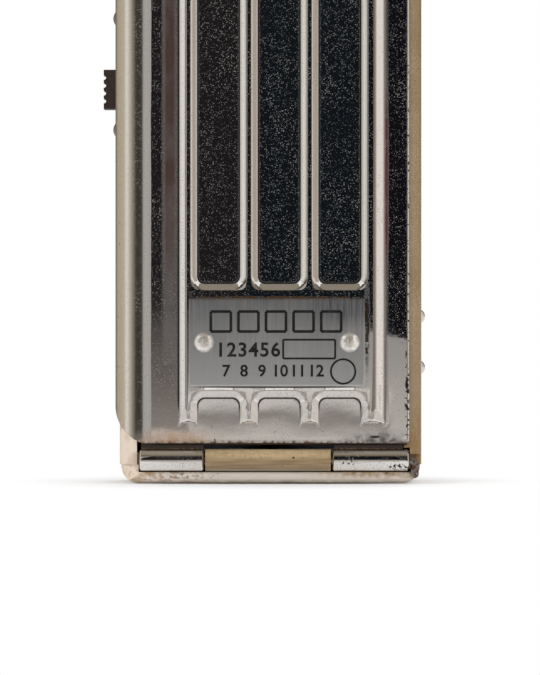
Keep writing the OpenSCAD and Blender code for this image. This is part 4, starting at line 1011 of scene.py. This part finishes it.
# The table: its height just over the paper, and its radius
TABLE_Z, TABLE_R = 0.0001, 0.6
# The screens beside the lamp
SCREEN_R, SCREEN_TOP = 0.45, 0.34
# Colours that the screens run through, with the bearing of each in degrees
LEFT_SCREEN = (
    (5.6, "AEACA8"), (9, "B6B5B1"), (21, "B2B1AD"), (27, "524C47"), (36, "3E3732"), (47, "4A433C"),
    (59, "8E8678"), (71, "D2CEC4"), (77, "F0F1F0"), (84, "F0F1F0"), (91, "CBC1AF"), (104, "C0B5A0"),
    (126, "B8AC98"), (152, "7A6F60"), (180, "4A4238"),
)
RIGHT_SCREEN = (
    (-120, "BCB1A5"), (-74, "BCB1A5"), (-67, "F6F0EA"), (-58, "F6F0EA"), (-40, "A0968E"), (-28, "827870"),
    (-9, "827870"),
)
# Rows of pixels in the photograph, and how many of them show a millimetre of the door
PHOTO_ROWS, ROWS_PER_MM = 675, 3.98


def bare(name):
    """A new material with an empty tree, and the tree."""
    material = bpy.data.materials.new(name)
    material.use_nodes = True
    material.node_tree.nodes.clear()
    return material, material.node_tree


def lit(tree, colour):
    """Makes an empty tree a surface that only gives light."""
    light = add(tree, "ShaderNodeEmission", {"Color": colour})[0]
    add(tree, "ShaderNodeOutputMaterial", {0: light})


def glowing(name, first, last, way, start, end):
    """A card's own light, which runs from one colour to another along a way where they differ."""
    material, tree = bare(name)
    if first != last:
        place = add(tree, "ShaderNodeTexCoord")["Object"]
        first = coated(first, (grade(place, way, start, end), last))
    lit(tree, first)
    return material


def strip(name, bearings, first_edge, second_edge):
    """A mesh round the lamp between two edges, each of a radius and a height. Bearings are in degrees: 0 is
    behind the photograph's camera and they grow to the left of it."""
    turns = np.radians(bearings)
    count = len(turns)
    points = [(-r * math.sin(a), -r * math.cos(a), z) for r, z in (first_edge, second_edge) for a in turns]
    faces = [(i, i + 1, count + i + 1, count + i) for i in range(count - 1)]
    mesh = bpy.data.meshes.new(name)
    mesh.from_pydata(points, [], faces)
    return mesh


def only_mirrored(name, mesh, material):
    """Puts up a stage object that shows in reflections alone."""
    made = placed(name, mesh, material)
    made.visible_camera = made.visible_diffuse = made.visible_transmission = made.visible_shadow = False


def card(name, left, right, z0, z1, radius, low, high=None):
    """An upright curved card between two bearings and two heights, from one colour at its foot to another."""
    bearings = np.linspace(left, right, max(2, int(abs(left - right) / 3) + 1))
    mesh = strip(name, bearings, (radius, z0), (radius, z1))
    only_mirrored(name, mesh, glowing(name, low, high or low, "Z", z0, z1))


def flat_card(name, left, right, inner, outer, height, near, far):
    """A level card between two bearings and two distances, from one colour at its inner edge to another."""
    mesh = strip(name, np.arange(right, left + 1, 4), (inner, height), (outer, height))
    only_mirrored(name, mesh, glowing(name, near, far, "OUT", inner, outer))


def screen(name, stops):
    """An upright curved card beside the lamp; its colour runs softly through pairs of bearing and colour."""
    bearings, colours = zip(*stops)
    turns = np.linspace(bearings[0], bearings[-1], 90)
    mesh = strip(name, turns, (SCREEN_R, 0), (SCREEN_R, SCREEN_TOP))
    shades = np.array([linear(colour) for colour in colours])
    row = np.stack([np.interp(turns, bearings, channel) for channel in shades.T], -1)
    glow = mesh.attributes.new("glow", "FLOAT_COLOR", "POINT")
    glow.data.foreach_set("color", np.tile(row, (2, 1)).ravel())
    material, tree = bare(name)
    lit(tree, add(tree, "ShaderNodeAttribute", attribute_name="glow")["Color"])
    only_mirrored(name, mesh, material)


def reflections():
    """What the plating mirrors: a dark room at eye level, a bright table edge below it, and soft boxes."""
    card("dark_room", -180, 180, HORIZON, WALL_FOOT, ROOM_R, "13181D")
    card("dark_left", 4, 0.45, HORIZON, WALL_FOOT, 1.74, "1F1D1E")
    card("dark_right", -2.1, -6, HORIZON, WALL_FOOT, 1.74, "121217")
    card("warm_wall", -180, 180, WALL_FOOT, CEILING, ROOM_R, "6E6350", "8A8070")
    flat_card("ceiling", 180, -180, 0.01, 1.76, CEILING, "A39D93", "968E80")
    card("table_edge", -40, 1.75, -0.03, HORIZON, 1.73, "C6C1BC", "A3A19D")
    card("table_haze", 1.75, 40, -0.03, 0.07, 1.72, "8E8782", "272526")
    flat_card("table_near", 36, -36, 0.03, 0.08, TABLE_Z, "E4E1DD", "A8A29C")
    flat_card("table_top", 36, -36, 0.08, TABLE_R, TABLE_Z, "A8A29C", "D0CBC6")
    flat_card("table_left", 180, 36, 0.06, TABLE_R, TABLE_Z, "DEDCD9", "DEDCD9")
    flat_card("table_right", -36, -180, 0.06, TABLE_R, TABLE_Z, "DEDAD5", "DEDAD5")
    card("under_plate", 1.75, -2.3, 0.0, 0.0085, 1.7, "D2CFCB", "E2E0DC")
    card("low_windows", 1.75, -2.3, -0.011, 0.0, 1.7, "938E8A", "D2CFCB")
    card("low_tips", 1.75, -2.3, -0.024, -0.011, 1.7, "C8C3BE", "938E8A")
    screen("left_side", LEFT_SCREEN)
    screen("right_side", RIGHT_SCREEN)
    card("low_right", -62, -120, 0, 0.02, 0.44, "E4DFD9")
    card("high_left", 120, 55, 0.85, 2.0, 1.3, "FFFFFF")
    card("high_right", -55, -120, 0.85, 2.0, 1.3, "FFFFFF")


def in_sight(tree, *kinds):
    """1 for rays of any of these kinds, or else 0."""
    ray = add(tree, "ShaderNodeLightPath")
    seen = ray[kinds[0]]
    for kind in kinds[1:]:
        seen = add(tree, "ShaderNodeMath", {0: seen, 1: ray[kind]}, operation="MAXIMUM")[0]
    return seen


def paper_floor():
    """A white paper floor that keeps the lamp's shadow and melts into the white background further out."""
    depth, shadow_near, shadow_far = 0.0002, 0.02, 0.075
    turns = np.radians(np.arange(0, 360, 5))
    points = [(TABLE_R * math.cos(a), TABLE_R * math.sin(a), -depth) for a in turns]
    mesh = bpy.data.meshes.new("paper_floor")
    mesh.from_pydata(points, [], [list(range(len(points)))])
    material, shader, place = finish("white paper", Base_Color="FAFAF9", Roughness=0.9)
    tree = material.node_tree
    far = grade(place, "OUT", shadow_near, shadow_far)
    seen = in_sight(tree, "Is Camera Ray", "Is Glossy Ray")
    white = add(tree, "ShaderNodeEmission", {"Color": "FFFFFF"})[0]
    layers = {0: product(far, seen), 1: shader.outputs[0], 2: white}
    mixed = add(tree, "ShaderNodeMixShader", layers)[0]
    join(tree.nodes["Material Output"], {0: mixed})
    placed("paper_floor", mesh, material)


def white_world():
    """An even grey fill for the light, white to the camera, to gloss and through glass."""
    world = bpy.data.worlds.new("studio")
    scene.world = world
    world.use_nodes = True
    tree = world.node_tree
    tree.nodes.clear()
    seen = in_sight(tree, "Is Camera Ray", "Is Glossy Ray", "Is Transmission Ray")
    fill = add(tree, "ShaderNodeBackground", {"Color": "F4F6F8", "Strength": 0.5})[0]
    white = add(tree, "ShaderNodeBackground", {"Color": "FFFFFF", "Strength": 1.0})[0]
    mixed = add(tree, "ShaderNodeMixShader", {0: seen, 1: fill, 2: white})[0]
    add(tree, "ShaderNodeOutputWorld", {0: mixed})


def soft_light(name, place, size, power):
    """A square soft box that points at the middle of the lamp and isn't mirrored by the plating."""
    lamp = bpy.data.lights.new(name, "AREA")
    lamp.size = size
    lamp.energy = power
    made = bpy.data.objects.new(name, lamp)
    scene.collection.objects.link(made)
    aim = Vector((0, 0, 0.08)) - Vector(place)
    made.matrix_world = Matrix.Translation(place) @ aim.to_track_quat("-Z", "Y").to_matrix().to_4x4()
    made.visible_glossy = False


def camera():
    """Straight behind the lamp at the height of the photograph's middle, through a long lens."""
    middle_x, middle_z, distance, plane_y, sensor = -0.0001, 0.0366, 1.2, -0.020, 36
    frame_height = PHOTO_ROWS / ROWS_PER_MM * MM
    lens = bpy.data.cameras.new("camera")
    lens.sensor_width = sensor
    lens.lens = sensor * distance / frame_height
    lens.clip_start, lens.clip_end = 0.05, 20
    made = bpy.data.objects.new("camera", lens)
    place = Matrix.Translation((middle_x, plane_y - distance, middle_z))
    made.matrix_world = place @ Matrix.Rotation(math.pi / 2, 4, "X")
    scene.collection.objects.link(made)
    scene.camera = made


reflections()
paper_floor()
white_world()
soft_light("key_left", (-0.9, -1.0, 0.7), 0.8, 13)
soft_light("fill_right", (0.9, -0.7, 0.6), 0.9, 6)
soft_light("front_side", (0.3, 1.2, 0.8), 0.9, 9)
camera()
